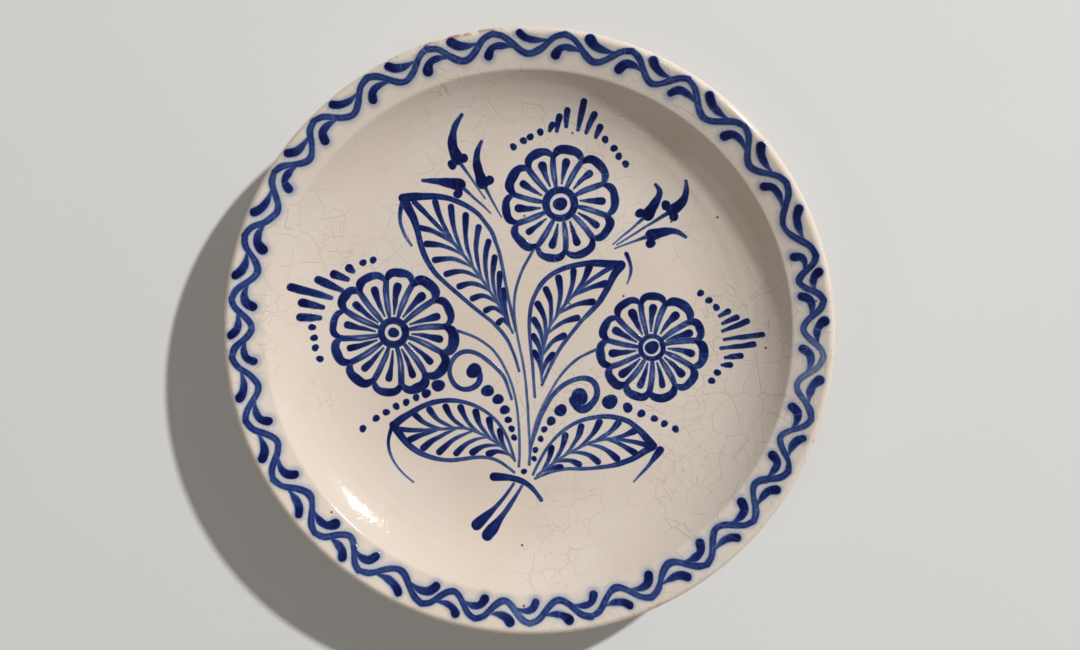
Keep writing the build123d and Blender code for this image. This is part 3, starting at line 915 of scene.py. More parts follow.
class Bleeding:
    """The blue that border strokes lend the glaze beside them."""

    def __init__(self, reach: float, strength: float) -> None:
        """Start with no strokes.

        Args:
            reach: how far the blue spreads.
            strength: its density beside a stroke.
        """
        self.reach = reach
        self.strength = strength
        self.trail: list[tuple[np.ndarray, float, float]] = []
        self.tree: KDTree | None = None

    def follow(self, stroke: Stroke, step: float) -> None:
        """Remember where a stroke runs.

        Args:
            stroke: the stroke.
            step: how far apart the remembered places are.
        """
        spine = Spine(stroke.places, step)
        shares = spine.travel / spine.length
        halves, loads = along(stroke.widths, shares) / 2, along(stroke.loads, shares)
        self.trail += list(zip(spine.places, halves, loads))

    def settle(self) -> None:
        """Make the strokes quick to find."""
        self.tree = KDTree(len(self.trail))
        for index, (place, _, _) in enumerate(self.trail):
            self.tree.insert((place[0], place[1], 0.0), index)
        self.tree.balance()

    def at(self, places: np.ndarray, inside: float) -> np.ndarray:
        """Density of the bled blue.

        Args:
            places: X and Y of where to find it.
            inside: radius of the middle of the border; the blue runs down the slope, inwards.

        Returns:
            The density at each place.
        """
        found = np.zeros(len(places))
        radii = np.hypot(places[:, 0], places[:, 1])
        for index in np.nonzero(np.abs(radii - inside) < 0.022)[0]:
            _, nearest, distance = self.tree.find((places[index, 0], places[index, 1], 0.0))
            place, half, load = self.trail[nearest]
            downhill = 1.25 if radii[index] < hypot(*place) else 0.75
            beyond = max(distance - half, 0.0) / (self.reach * downhill)
            found[index] = self.strength * load * exp(-beyond * beyond)
        return found


@dataclass
class Brushwork:
    """Strokes and dots that become one mesh, lying on the glaze with their edges sunk in it."""

    section: Section
    bleeding: Bleeding
    feather: float = 0.55 * MM
    step: float = 0.62 * MM
    tremor: float = 0.10 * MM
    root: float = 0.12 * MM
    inset: float = 0.12 * MM
    unevenness: float = 0.05
    load_unevenness: float = 0.07
    mark_gap: float = 7.0
    dot_segments: int = 22
    seed: int = 0
    across: tuple[float, ...] = (-1.0, -0.78, -0.42, 0.0, 0.42, 0.78, 1.0)
    margins: tuple[float, ...] = (0.4, 0.8, 1.0)

    def __post_init__(self) -> None:
        """Start with bare glaze."""
        self.draws = np.random.default_rng(self.seed)
        self.places: list[np.ndarray] = []
        self.above: list[np.ndarray] = []
        self.cobalt: list[np.ndarray] = []
        self.brush: list[np.ndarray] = []
        self.faces: list[tuple[int, ...]] = []
        self.count = 0
        self.strokes = 0

    def height(self, edge: np.ndarray) -> np.ndarray:
        """How far the cobalt stands above the glaze, by the distance outside the stroke's edge.

        Args:
            edge: distance outside the stroke's edge, negative inside.

        Returns:
            Heights in metres.
        """
        out = self.feather
        steps = (-1.4 * MM, -0.6 * MM, -0.2 * MM, 0.0, 0.4 * out, 0.8 * out, out)
        return np.interp(edge, steps, np.array((0.105, 0.100, 0.078, 0.056, 0.036, 0.020, -0.03)) * MM)

    def density(self, edge: np.ndarray, half: float, load: float, hollow: float) -> np.ndarray:
        """Cobalt across a stroke.

        Args:
            edge: distance outside the stroke's edge, negative inside.
            half: half of the stroke's width.
            load: how much cobalt the brush holds there.
            hollow: share missing along the middle.

        Returns:
            The density.
        """
        depth = np.clip(-edge / max(half, 0.2 * MM), 0.0, 1.0)
        middle = 1 - hollow * depth**1.5
        fade = np.interp(edge / self.feather, (-0.6, 0.0, 0.4, 0.8, 1.0), (1.0, 0.80, 0.32, 0.08, 0.0))
        return load * middle * fade

    def shaken(self, values: np.ndarray, travel: np.ndarray, reach: float, pitch: float) -> np.ndarray:
        """Values with a slow random wander added, as of a hand.

        Args:
            values: what the wander is added to.
            travel: how far along the stroke each value is.
            reach: the size of the wander.
            pitch: how far it takes to change.

        Returns:
            The shaken values.
        """
        count = max(3, int(travel[-1] / pitch) + 2)
        knots = self.draws.normal(0.0, reach, count)
        return values + along(knots, np.clip(travel / travel[-1], 0.0, 1.0))

    def lay(self, stroke: Stroke) -> None:
        """Add a stroke: rows of vertices across it, round ends, and a root sunk in the glaze.

        Args:
            stroke: the stroke.
        """
        spine = Spine(stroke.places, self.step)
        shares = spine.travel / spine.length
        headings = spine.headings()
        sides = np.stack([-headings[:, 1], headings[:, 0]], axis=1)
        halves = along(stroke.widths, shares) / 2 - self.inset
        halves = halves * self.shaken(np.ones_like(halves), spine.travel, self.unevenness, 5 * MM)
        loads = along(stroke.loads, shares)
        loads = loads * self.shaken(np.ones_like(halves), spine.travel, self.load_unevenness, 9 * MM)
        sway = self.shaken(np.zeros_like(halves), spine.travel, self.tremor, 6 * MM)
        middles = spine.places + sides * sway[:, None]
        stations = self.cap(middles[0], -headings[0], sides[0], halves[0], loads[0], 0.0)[::-1]
        stations += zip(middles, sides, np.zeros_like(halves), halves, loads, spine.travel)
        stations += self.cap(middles[-1], headings[-1], sides[-1], halves[-1], loads[-1], spine.length)
        self.loft(stations, stroke.hollow)

    def cap(
        self,
        middle: np.ndarray,
        heading: np.ndarray,
        side: np.ndarray,
        half: float,
        load: float,
        travel: float,
    ) -> list:
        """Stations over a stroke's round end.

        Args:
            middle: the last place on the spine.
            heading: the way out of the stroke.
            side: the way across it.
            half: half of its width there.
            load: its load there.
            travel: how far along the stroke the end is.

        Returns:
            Stations, each with its place, side, distance past the end, half width, load and travel.
        """
        reaches = [half * sin(radians(turn)) for turn in (22, 42, 62, 80)] + [half + 0.4 * self.feather]
        return [(middle + heading * reach, side, reach, half, load, travel) for reach in reaches]

    def loft(self, stations: list, hollow: float) -> None:
        """Join stations into a closed skin.

        Args:
            stations: as cap() returns them, in order along the stroke.
            hollow: share of the cobalt missing along the middle.
        """
        loop = len(self.across) + 2 * len(self.margins) + 2
        mark = self.mark_gap * self.strokes
        for middle, side, past, half, load, travel in stations:
            inner = sqrt(max(half**2 - past**2, (0.05 * half) ** 2))
            outer = sqrt((half + self.feather) ** 2 - past**2)
            gap = outer - inner
            offsets = [-inner - gap * share for share in reversed(self.margins)]
            offsets += [inner * share for share in self.across]
            offsets += [inner + gap * share for share in self.margins]
            offsets = np.array(offsets)
            edge = np.hypot(offsets, past) - half
            places = middle + side * offsets[:, None]
            self.add_row(places, edge, half, load, hollow, travel, offsets, mark)
            roots = np.array([0.7 * outer, -0.7 * outer])
            self.add_root(middle + side * roots[:, None], travel, roots, mark)
        first = self.count
        skin = strip(first, len(stations), loop)
        self.faces += [(one, four, three, two) for one, two, three, four in skin]
        self.count += len(stations) * loop
        ends = ((stations[0], first, -1), (stations[-1], self.count - loop, 1))
        for (middle, side, past, half, _, travel), ring, way in ends:
            heading = way * np.array([side[1], -side[0]])
            tip = middle + heading * (half + self.feather - past)
            self.add_root(tip[None, :], travel, np.zeros(1), mark)
            self.faces += fan(self.count, ring, loop, turned=way == -1)
            self.count += 1
        self.strokes += 1

    def add_row(
        self,
        places: np.ndarray,
        edge: np.ndarray,
        half: float,
        load: float,
        hollow: float,
        travel: float,
        offsets: np.ndarray,
        mark: float,
    ) -> None:
        """Add vertices on the top of a stroke.

        Args:
            places: their X and Y.
            edge: distance of each outside the stroke's edge.
            half: half of the stroke's width.
            load: how much cobalt the brush holds.
            hollow: share of it missing along the middle.
            travel: how far along the stroke they are.
            offsets: how far across it each is.
            mark: the number that tells the stroke from others.
        """
        self.places.append(places)
        self.above.append(self.height(edge))
        self.cobalt.append(self.density(edge, half, load, hollow))
        self.add_brush(travel, offsets, mark)

    def add_root(self, places: np.ndarray, travel: float, offsets: np.ndarray, mark: float) -> None:
        """Add vertices under the glaze's surface.

        Args:
            places: their X and Y.
            travel: how far along the stroke they are.
            offsets: how far across it each is.
            mark: the number that tells the stroke from others.
        """
        count = len(places)
        self.places.append(places)
        self.above.append(np.full(count, -self.root))
        self.cobalt.append(np.zeros(count))
        self.add_brush(travel, offsets, mark)

    def add_brush(self, travel: float, offsets: np.ndarray, mark: float) -> None:
        """Note where in its stroke each new vertex is."""
        still = np.ones(len(offsets))
        self.brush.append(np.stack([still * travel / MM, offsets / MM, still * mark], axis=1))

    def dab(self, dot: Dot) -> None:
        """Add a dot: rings of vertices about its middle, a little out of round.

        Args:
            dot: the dot.
        """
        segments = self.dot_segments
        bearings = np.linspace(0, 2 * pi, segments, endpoint=False)
        phases = self.draws.uniform(0, 2 * pi, 2)
        uneven = 1 + 0.07 * np.cos(2 * bearings + phases[0]) + 0.035 * np.cos(3 * bearings + phases[1])
        half = dot.diameter / 2
        load = dot.load * self.draws.normal(1.0, 0.05)
        rings = [0.3 * half, 0.62 * half, 0.86 * half, half]
        rings += [half + self.feather * share for share in self.margins]
        middle = np.array(dot.place)
        mark = self.mark_gap * self.strokes
        first = self.count
        ways = np.stack([np.cos(bearings), np.sin(bearings)], axis=1) * uneven[:, None]
        for reach in rings:
            offsets = np.cos(bearings) * reach
            edge = np.full(segments, reach - half)
            self.add_row(middle + ways * reach, edge, half, load, 0.0, 0.0, offsets, mark)
        self.add_root(middle + ways * (0.7 * rings[-1]), 0.0, np.zeros(segments), mark)
        self.add_row(middle[None, :], np.array([-half]), half, load, 0.0, 0.0, np.zeros(1), mark)
        self.add_root(middle[None, :], 0.0, np.zeros(1), mark)
        count = len(rings) + 1
        top = first + count * segments
        self.faces += strip(first, count, segments)
        self.faces += fan(top, first, segments)
        self.faces += fan(top + 1, top - segments, segments, turned=True)
        self.count = top + 2
        self.strokes += 1

    def build(self, name: str, material: bpy.types.Material) -> bpy.types.Object:
        """Turn what was drawn into an object.

        Args:
            name: the piece's name.
            material: the painted glaze.

        Returns:
            The object.
        """
        places = np.concatenate(self.places)
        surface = self.section.surface(places, np.concatenate(self.above))
        made = make_object(name, surface, self.faces, material)
        bled = self.bleeding.at(places, self.section.ridge_radius + self.section.flange_width / 2)
        store(made, "cobalt", np.maximum(np.concatenate(self.cobalt), bled))
        store(made, "brush", np.concatenate(self.brush))
        return made


# ---------------------------------------------------------------- motifs
@dataclass
class Motif:
    """A part of the brushwork that stands for one node of the frame."""

    node: str
    slot: Slot
    seed: int

    def strokes(self) -> list[Stroke]:
        """The strokes, in the order that they are pulled."""
        return []

    def dots(self) -> list[Dot]:
        """The dots."""
        return []

    def build(self, section: Section, bleeding: Bleeding, material: bpy.types.Material) -> bpy.types.Object:
        """Paint the motif.

        Args:
            section: the plate's section.
            bleeding: the border's blue.
            material: the painted glaze.

        Returns:
            The painted object, which replaces its node.
        """
        wet = self.slot is Slot.BORDER
        feather, inset, uneven = (0.60 * MM, 0.20 * MM, 0.09) if wet else (0.42 * MM, 0.12 * MM, 0.05)
        work = Brushwork(section, bleeding, feather, inset=inset, unevenness=uneven, seed=self.seed)
        for stroke in self.strokes():
            work.lay(stroke)
        for dot in self.dots():
            work.dab(dot)
        made = work.build(f"painted_{self.node}", material)
        stand_in(made, self.node)
        return made


@dataclass
class Waves:
    """The wavy vine's course round the flange."""

    section: Section
    swing: float = 0.25
    middle: float = 0.52
    drift: float = 0.09
    drift_bearing: float = 110.0
    bearings: tuple[float, ...] = (
        7.5, 16.2, 31.2, 44.4, 58.2, 69.9, 82.8, 96.3, 108.9, 121.5, 134.4, 146.7, 160.2, 172.5, 183.9,
        196.8, 209.4, 222.9, 234.3, 248.4, 259.5, 270.5, 282.9, 295.5, 308.4, 321.0, 333.0, 344.1, 356.4,
    )

    def spans(self) -> list[tuple[float, float]]:
        """Each wave as the bearings of its start and of its end."""
        return list(zip(self.bearings, self.bearings[1:] + (self.bearings[0] + 360,)))

    def at(self, span: tuple[float, float], share: float, swing: float) -> Point:
        """A place in a wave.

        Args:
            span: the wave's bearings.
            share: how far along it.
            swing: -1 at its inner turn and 1 at its outer turn.

        Returns:
            X and Y.
        """
        bearing = span[0] + (span[1] - span[0]) * share
        drift = self.drift * cos(radians(bearing - self.drift_bearing))
        across = self.middle + drift + self.swing * swing
        radius = self.section.ridge_radius + self.section.flange_width * across
        return (radius * cos(radians(bearing)), radius * sin(radians(bearing)))

    @staticmethod
    def wash(bearing: float) -> float:
        """How much cobalt the vine holds at a bearing: it ran thin in two places.

        Args:
            bearing: the bearing, in degrees.

        Returns:
            The share of a full load.
        """
        thin = 0.0
        for middle, reach, depth in ((354.0, 9.0, 0.55), (269.0, 4.0, 0.4), (18.0, 7.0, -0.15)):
            away = (bearing - middle + 180) % 360 - 180
            thin += depth * exp(-((away / reach) ** 2))
        return 1 - thin


@dataclass
class RimVine(Motif):
    """The border's wavy line, pulled one wave at a time."""

    waves: Waves
    width: float = 3.1 * MM

    def strokes(self) -> list[Stroke]:
        """One stroke for each wave.

        Returns:
            The strokes.
        """
        made = []
        for span in self.waves.spans():
            places = [self.waves.at(span, step / 8, cos(radians(45 * step))) for step in range(9)]
            bearings = [span[0] + (span[1] - span[0]) * step / 4 for step in range(5)]
            loads = [0.88 * self.waves.wash(bearing) for bearing in bearings]
            loads[0] *= 1.06
            loads[-1] *= 1.06
            made.append(Stroke(places, (self.width, 1.04 * self.width, self.width), loads, 0.22))
        return made


@dataclass
class RimLeaves(Motif):
    """The border's comma leaves on one side of the vine: each grows to a round, dark head."""

    waves: Waves
    course: tuple[Point, ...]
    tail: float = 1.5 * MM
    body: float = 3.6 * MM
    head: float = 4.4 * MM

    def strokes(self) -> list[Stroke]:
        """One comma for each wave.

        Returns:
            The strokes.
        """
        made = []
        for span in self.waves.spans():
            places = [self.waves.at(span, *place) for place in self.course]
            wash = 0.5 + 0.5 * self.waves.wash(span[0] + 0.8 * (span[1] - span[0]))
            loads = [0.70 * wash, 0.95 * wash, 1.30 * wash]
            made.append(Stroke(places, (self.tail, self.body, self.head), loads))
        return made


@dataclass
class BouquetMotif(Motif):
    """A motif of the bouquet, whose places are drawn in millimetres for a smaller well."""

    scale: float

    def spread(self, places: Sequence[Point]) -> list[Point]:
        """Drawn places as places on the plate."""
        return [(x * self.scale * MM, y * self.scale * MM) for x, y in places]

    def pull(
        self, places: Sequence[Point], widths: Sequence[float], loads: Sequence[float], hollow: float = 0.0
    ) -> Stroke:
        """A stroke through drawn places, its widths in millimetres."""
        return Stroke(self.spread(places), [width * MM for width in widths], loads, hollow)


@dataclass
class Flower(BouquetMotif):
    """A rosette: scalloped edge, a pair of lines between petals, a drop in each, a ring and an eye."""

    centre: Point
    radius: float
    petals: int
    notch: float
    ring: float
    ring_width: float
    eye: float

    def at(self, share: float, bearing: float) -> Point:
        """A drawn place at a share of the flower's radius.

        Args:
            share: share of the flower's radius.
            bearing: direction from its centre, in degrees.

        Returns:
            X and Y in drawn millimetres.
        """
        reach = self.radius * share
        return (
            self.centre[0] + reach * cos(radians(bearing)),
            self.centre[1] + reach * sin(radians(bearing)),
        )

    def strokes(self) -> list[Stroke]:
        """Dividing lines first, then the drops, the ring, and the scallops over their ends.

        Returns:
            The strokes.
        """
        pitch = 360 / self.petals
        inner = (self.ring + self.ring_width / 2) / self.radius
        hand = np.random.default_rng(self.seed)
        notches = [self.notch + petal * pitch + hand.normal(0.0, 1.5) for petal in range(self.petals)]
        notches.append(notches[0] + 360)
        made = []
        for start, after in zip(notches, notches[1:]):
            pitch = after - start
            for lean in (-1, 1):
                places = [
                    self.at(inner * 0.98, start + 5 + 2.5 * lean),
                    self.at(0.42, start + 4 + 3.2 * lean),
                    self.at(0.64, start + 2 + 2.2 * lean),
                    self.at(0.82, start + 1.2 * lean),
                ]
                made.append(self.pull(places, (1.1, 1.4, 1.8), (0.95, 0.72, 1.0), 0.22))
            lean, full = hand.normal(0.0, 1.2), hand.normal(1.0, 0.09)
            drop = [self.at(inner + 0.05, start + pitch / 2 + 4), self.at(0.54, start + pitch / 2 + 2 + lean)]
            drop.append(self.at(0.735, start + pitch / 2 + lean))
            made.append(self.pull(drop, (1.0, 2.4 * full, 3.9 * full), (0.75, 0.9, 1.2)))
        middle = self.ring / self.radius
        circle = [self.at(middle, 24 * step) for step in range(17)]
        made.append(self.pull(circle, (self.ring_width * self.scale,) * 2, (0.95, 1.05)))
        for start, after in zip(notches, notches[1:]):
            pitch, bulge, full = after - start, hand.normal(0.0, 0.007), hand.normal(1.0, 0.10)
            scallop = [self.at(0.82, start - 0.03 * pitch), self.at(0.935 + bulge, start + 0.2 * pitch)]
            scallop += [self.at(0.955 + bulge, start + 0.5 * pitch), self.at(0.935, start + 0.8 * pitch)]
            scallop.append(self.at(0.815, start + pitch))
            widths = [width * full for width in (2.3, 3.7, 4.4, 4.1, 2.4)]
            made.append(self.pull(scallop, widths, (0.85, 1.0, 1.15, 1.25)))
        return made

    def dots(self) -> list[Dot]:
        """The eye."""
        return [Dot(self.spread([self.centre])[0], 2 * self.eye * self.scale * MM)]


@dataclass
class Leaf(BouquetMotif):
    """A leaf: two edges and a rib that start at its tip, comma veins, and a loose stroke at the tip."""

    upper: Sequence[Point]
    lower: Sequence[Point]
    rib: Sequence[Point]
    veins: tuple[int, int]
    flick: Sequence[Point]
    flick_widths: Sequence[float]
    vein_head: float = 2.6

    def strokes(self) -> list[Stroke]:
        """Rib and veins, then the edges over them.

        Returns:
            The strokes.
        """
        made = [self.pull(self.rib, (2.6, 1.6, 1.4, 1.2), (1.1, 0.72, 0.62, 0.66), 0.2)]
        rib = Spine(self.rib, 0.5)
        for edge_places, count in zip((self.upper, self.lower), self.veins):
            edge = Spine(edge_places, 0.5)
            for vein in range(count):
                share = 0.16 + 0.62 * vein / (count - 1)
                foot = rib.at(min(share + 0.2, 0.97))
                head = rib.at(share)
                head = head + (edge.at(share) - head) * 0.78
                middle = (foot + head) / 2 + (rib.at(share) - foot) * 0.20
                places = [tuple(place) for place in (foot, middle, head)]
                made.append(self.pull(places, (1.0, 2.1, 1.3 * self.vein_head), (0.6, 0.8, 1.2)))
        made.append(self.pull(self.upper, (4.2, 2.6, 2.0, 1.6, 1.4), (1.3, 0.95, 0.74, 0.66, 0.7), 0.16))
        made.append(self.pull(self.lower, (4.2, 2.8, 2.0, 1.8, 1.4), (1.3, 0.95, 0.76, 0.68, 0.7), 0.16))
        made.append(self.pull(self.flick, self.flick_widths, (1.15, 0.62, 0.5)))
        return made


@dataclass
class Lines(BouquetMotif):
    """Stems, a tie or a scroll: strokes with their widths and loads, and dots with their diameters."""

    pulls: Sequence[tuple[Sequence[Point], Sequence[float], Sequence[float]]]
    blobs: Sequence[tuple[Point, float]] = ()

    def strokes(self) -> list[Stroke]:
        """The strokes as drawn."""
        return [self.pull(places, widths, loads, 0.14) for places, widths, loads in self.pulls]

    def dots(self) -> list[Dot]:
        """The dots as drawn."""
        return [Dot(self.spread([place])[0], diameter * MM) for place, diameter in self.blobs]


@dataclass
class Crest(BouquetMotif):
    """Dots at two ends and dashes between them, longest in the middle."""

    dashes: Sequence[tuple[Point, Point]]
    dash_width: float
    ends: Sequence[Point]
    dot: float = 3.2

    def strokes(self) -> list[Stroke]:
        """Each dash, from its root to its fuller tip.

        Returns:
            The strokes.
        """
        made = []
        for root, tip in self.dashes:
            middle = ((root[0] + tip[0]) / 2, (root[1] + tip[1]) / 2)
            widths = (0.7 * self.dash_width, self.dash_width, 1.15 * self.dash_width)
            made.append(self.pull([root, middle, tip], widths, (0.8, 1.0, 1.25)))
        return made

    def dots(self) -> list[Dot]:
        """The dots."""
        return [Dot(place, self.dot * MM) for place in self.spread(self.ends)]


@dataclass
class BudSpray(BouquetMotif):
    """Buds, each a horn with lobes at its heel, on thin stems that meet."""

    buds: Sequence[tuple[Sequence[Point], Sequence[Point], Point]]

    def strokes(self) -> list[Stroke]:
        """Each bud's stem and horn.

        Returns:
            The strokes.
        """
        made = []
        for horn, _, foot in self.buds:
            knee = (horn[0][0] + 0.6 * (foot[0] - horn[0][0]), horn[0][1] + 0.6 * (foot[1] - horn[0][1]))
            made.append(self.pull([horn[0], knee, foot], (2.0, 1.2, 0.8), (0.9, 0.62, 0.5)))
            made.append(self.pull(horn, (6.0, 4.6, 3.0, 1.7), (1.35, 1.25, 0.95, 0.8)))
        return made

    def dots(self) -> list[Dot]:
        """The lobes at each heel."""
        return [Dot(place, 4.4 * MM, 1.3) for _, lobes, _ in self.buds for place in self.spread(lobes)]


# ---------------------------------------------------------------- the bouquet's drawing
@dataclass
class Bouquet:
    """The tied bouquet in the well. Places are in millimetres, drawn for a well of that radius."""

    section: Section
    drawn_well: float = 126.5

    def motifs(self) -> list[Motif]:
        """Every motif of the bouquet.

        Returns:
            The motifs, the ones painted first at the start.
        """
        groups = (self.flowers, self.leaves, self.stalks, self.dot_rows, self.crests, self.sprays)
        return [motif for group in groups for motif in group()]

    def common(self, node: str, seed: int) -> tuple[str, Slot, int, float]:
        """What every motif of the bouquet starts with."""
        return (node, Slot.BOUQUET, seed, self.section.ridge_radius / (self.drawn_well * MM))

    def flowers(self) -> list[Motif]:
        """The three rosettes.

        Returns:
            The motifs.
        """
        return [
            Flower(*self.common("flower_top", 11), (15.3, 63.2), 27.8, 10, 25, 6.9, 3.4, 3.2),
            Flower(*self.common("flower_left", 12), (-66.9, -0.2), 31.2, 12, 7, 6.0, 3.4, 2.5),
            Flower(*self.common("flower_right", 13), (60.5, -7.1), 26.6, 11, 6.5, 5.6, 2.4, 3.2),
        ]

    def leaves(self) -> list[Motif]:
        """The four leaves.

        Returns:
            The motifs.
        """
        return [
            Leaf(
                *self.common("leaf_upper_left", 21),
                upper=[(-61.5, 66), (-40, 66), (-27, 60), (-18, 49), (-14, 37.5), (-10.5, 19.5), (-6.5, 1)],
                lower=[
                    (-61.5, 66), (-55.5, 53), (-52, 40), (-47, 31),
                    (-36, 20), (-24, 10), (-11, -3), (-5, -19),
                ],
                rib=[(-56, 64), (-38.5, 46), (-26.5, 31), (-14.5, 13), (-8, 0)],
                veins=(8, 8),
                flick=[(-61, 66), (-63, 55), (-57.5, 43)],
                flick_widths=(2.4, 1.8, 1.4),
                vein_head=2.4,
            ),
            Leaf(
                *self.common("leaf_upper_right", 22),
                upper=[(45, 33.5), (27, 34), (8, 26), (0.5, 9.5), (1, -7), (3, -32)],
                lower=[(45, 33.5), (41, 27), (36, 17.5), (27.5, 7.5), (12.5, -13), (6.5, -26)],
                rib=[(41, 33), (25, 21.5), (15, 10.5), (10, 2), (7.3, -7), (6.3, -24)],
                veins=(8, 5),
                flick=[(47.7, 39), (50, 32), (48.2, 24.4)],
                flick_widths=(2.2, 1.6, 0.9),
            ),
            Leaf(
                *self.common("leaf_lower_left", 23),
                upper=[(-67.5, -46.5), (-49, -35.5), (-31, -35), (-14.5, -46), (-7, -64)],
                lower=[(-67.5, -46.5), (-58, -58), (-38, -64), (-18, -63), (-7.5, -70)],
                rib=[(-65, -48.5), (-49, -48.8), (-32.5, -48), (-14.5, -56.5), (-8, -63)],
                veins=(7, 6),
                flick=[(-68.5, -48), (-70, -56), (-66.5, -66), (-57.7, -75)],
                flick_widths=(1.8, 1.4, 1.0, 0.9),
            ),
            Leaf(
                *self.common("leaf_lower_right", 24),
                upper=[(61.5, -56.2), (49, -44), (30.5, -42.5), (14, -51.5), (2, -71)],
                lower=[(61.5, -56.2), (48.7, -64), (27, -67.8), (14, -68.8), (3, -73)],
                rib=[(60, -56.2), (39.5, -53), (21.5, -59), (4, -71.5)],
                veins=(6, 5),
                flick=[(65, -58), (58, -67.5), (52, -74)],
                flick_widths=(3.6, 1.8, 0.9),
            ),
        ]

    def stalks(self) -> list[Motif]:
        """The stems with their cut ends, the tie and the two scrolls.

        Returns:
            The motifs.
        """
        thin, faint = (1.3, 1.2, 1.4), (0.62, 0.56, 0.66)
        stems = [
            ([(0.4, -66), (-0.3, -41.5), (-4, -9.5), (-7.3, 13), (-4.6, 27.5), (3, 42)], thin, faint),
            ([(-5, -67), (-5.4, -41.5), (-10.8, -19.7), (-22, -5), (-37.5, 1.5)], thin, faint),
            ([(0, -66), (3.2, -46), (11.4, -27.8), (22, -14.5), (35, -7.4)], thin, faint),
            ([(-7.6, -75.6), (-13, -83.4), (-26, -96)], (1.3, 2.0, 5.6), (0.7, 0.9, 1.2)),
            ([(-3.2, -76.6), (-10, -87.3), (-20.6, -101)], (1.3, 2.4, 6.2), (0.7, 0.9, 1.2)),
        ]
        tie = [([(-17.5, -72.4), (-6, -73.5), (0.5, -77), (6, -83.8)], (4.2, 3.2, 2.6, 2.0), (1.3, 1.1, 0.8))]
        left = [(-8.6, -33), (-11.5, -24), (-19, -15), (-32.5, -9.6), (-39.5, -19.5), (-32, -28.3)]
        left += [(-24.5, -24), (-24.4, -20.4)]
        right = [(1, -57), (7.7, -38), (20.5, -24), (31, -23.5), (33.5, -31), (25.9, -38), (22.3, -33.5)]
        left_widths, right_widths = (1.4, 2.0, 2.2, 2.4, 3.0), (1.4, 2.0, 2.4, 3.0, 5.0)
        loads = (0.62, 0.72, 0.8, 1.0)
        return [
            Lines(*self.common("stems", 31), stems),
            Lines(*self.common("stem_tie", 32), tie),
            Lines(*self.common("scroll_left", 33), [(left, left_widths, loads)], [((-27.2, -19), 7.4)]),
            Lines(*self.common("scroll_right", 34), [(right, right_widths, loads)], [((25.2, -31.6), 8.2)]),
        ]

    def dot_rows(self) -> list[Motif]:
        """The rows of dots beside the lower leaves.

        Returns:
            The motifs.
        """
        outer_left = [(-45, -26.5), (-51, -30.5), (-56, -32.5), (-61, -35), (-66, -37), (-71, -40)]
        outer_left += [(-76, -43), (-82.5, -48)]
        inner_left = [(-20.5, -29), (-15.3, -33.2), (-12, -38.5), (-10.3, -43.5), (-8.6, -48)]
        inner_left += [(-7.4, -52.4), (-2.5, -69.5)]
        left = list(zip(outer_left, [6.2, 4.4] + [3.3] * 6))
        left += list(zip(inner_left, [6.0, 5.2, 4.6, 3.3, 3.1, 2.9, 2.7]))
        inner_right = [(15.7, -38.6), (11, -44), (7.6, -48.2), (5.8, -53), (3.2, -58.6), (2.5, -63)]
        outer_right = [(40, -34.2), (48.8, -37.1), (55.6, -40), (62, -42.5), (67, -45), (72.5, -47.6)]
        right = list(zip(inner_right, [6.0, 4.4, 3.0, 2.8, 2.8, 2.6]))
        right += list(zip(outer_right, [7.4, 4.8, 3.8, 3.3, 3.3, 3.3]))
        return [
            Lines(*self.common("dots_left", 41), (), left),
            Lines(*self.common("dots_right", 42), (), right),
        ]

    def crests(self) -> list[Motif]:
        """The crests over the rosettes.

        Returns:
            The motifs.
        """
        return [
            Crest(
                *self.common("crest_top", 51),
                [
                    ((10.2, 98.6), (11.6, 101.2)), ((13.5, 98.4), (15, 105)), ((18.1, 100.5), (18.8, 108)),
                    ((23.8, 98.9), (26.8, 112)), ((27.8, 97.5), (31.6, 106)), ((32.4, 95.4), (34.6, 100)),
                ],
                2.8,
                [
                    (-7.4, 90.8), (-2.5, 93.7), (0.8, 95.5), (5.7, 97.8),
                    (37, 94.2), (41.3, 90), (43.6, 86.2), (47, 82.5),
                ],
            ),
            Crest(
                *self.common("crest_left", 52),
                [
                    ((-86.4, 30.2), (-88.2, 31.6)), ((-89.3, 26.2), (-95.3, 28.7)),
                    ((-92.3, 20.8), (-102.8, 26.2)), ((-97.3, 17.2), (-115, 22.9)),
                    ((-101.3, 12.6), (-110.4, 15.1)), ((-102.8, 7.3), (-111.4, 8.1)),
                ],
                3.7,
                [(-76.5, 35.7), (-81.5, 34.4), (-106.3, 2.9), (-105.5, -2.4), (-105, -7.3), (-102.9, -12.9)],
            ),
            Crest(
                *self.common("crest_right", 53),
                [
                    ((93.4, 8.6), (97.4, 10.9)), ((94.9, 5.1), (101.4, 8.3)), ((94.9, 1.4), (106.4, 6.2)),
                    ((95.8, -2.7), (113.4, 0.2)), ((94.3, -7.3), (109.4, -4.6)),
                    ((96.3, -11.6), (103.6, -10.6)), ((94.8, -15.5), (98.7, -15.1)),
                ],
                2.5,
                [(84, 19.8), (88.1, 16.3), (91.7, 12.9), (92.6, -19.2), (89.9, -23.3)],
            ),
        ]

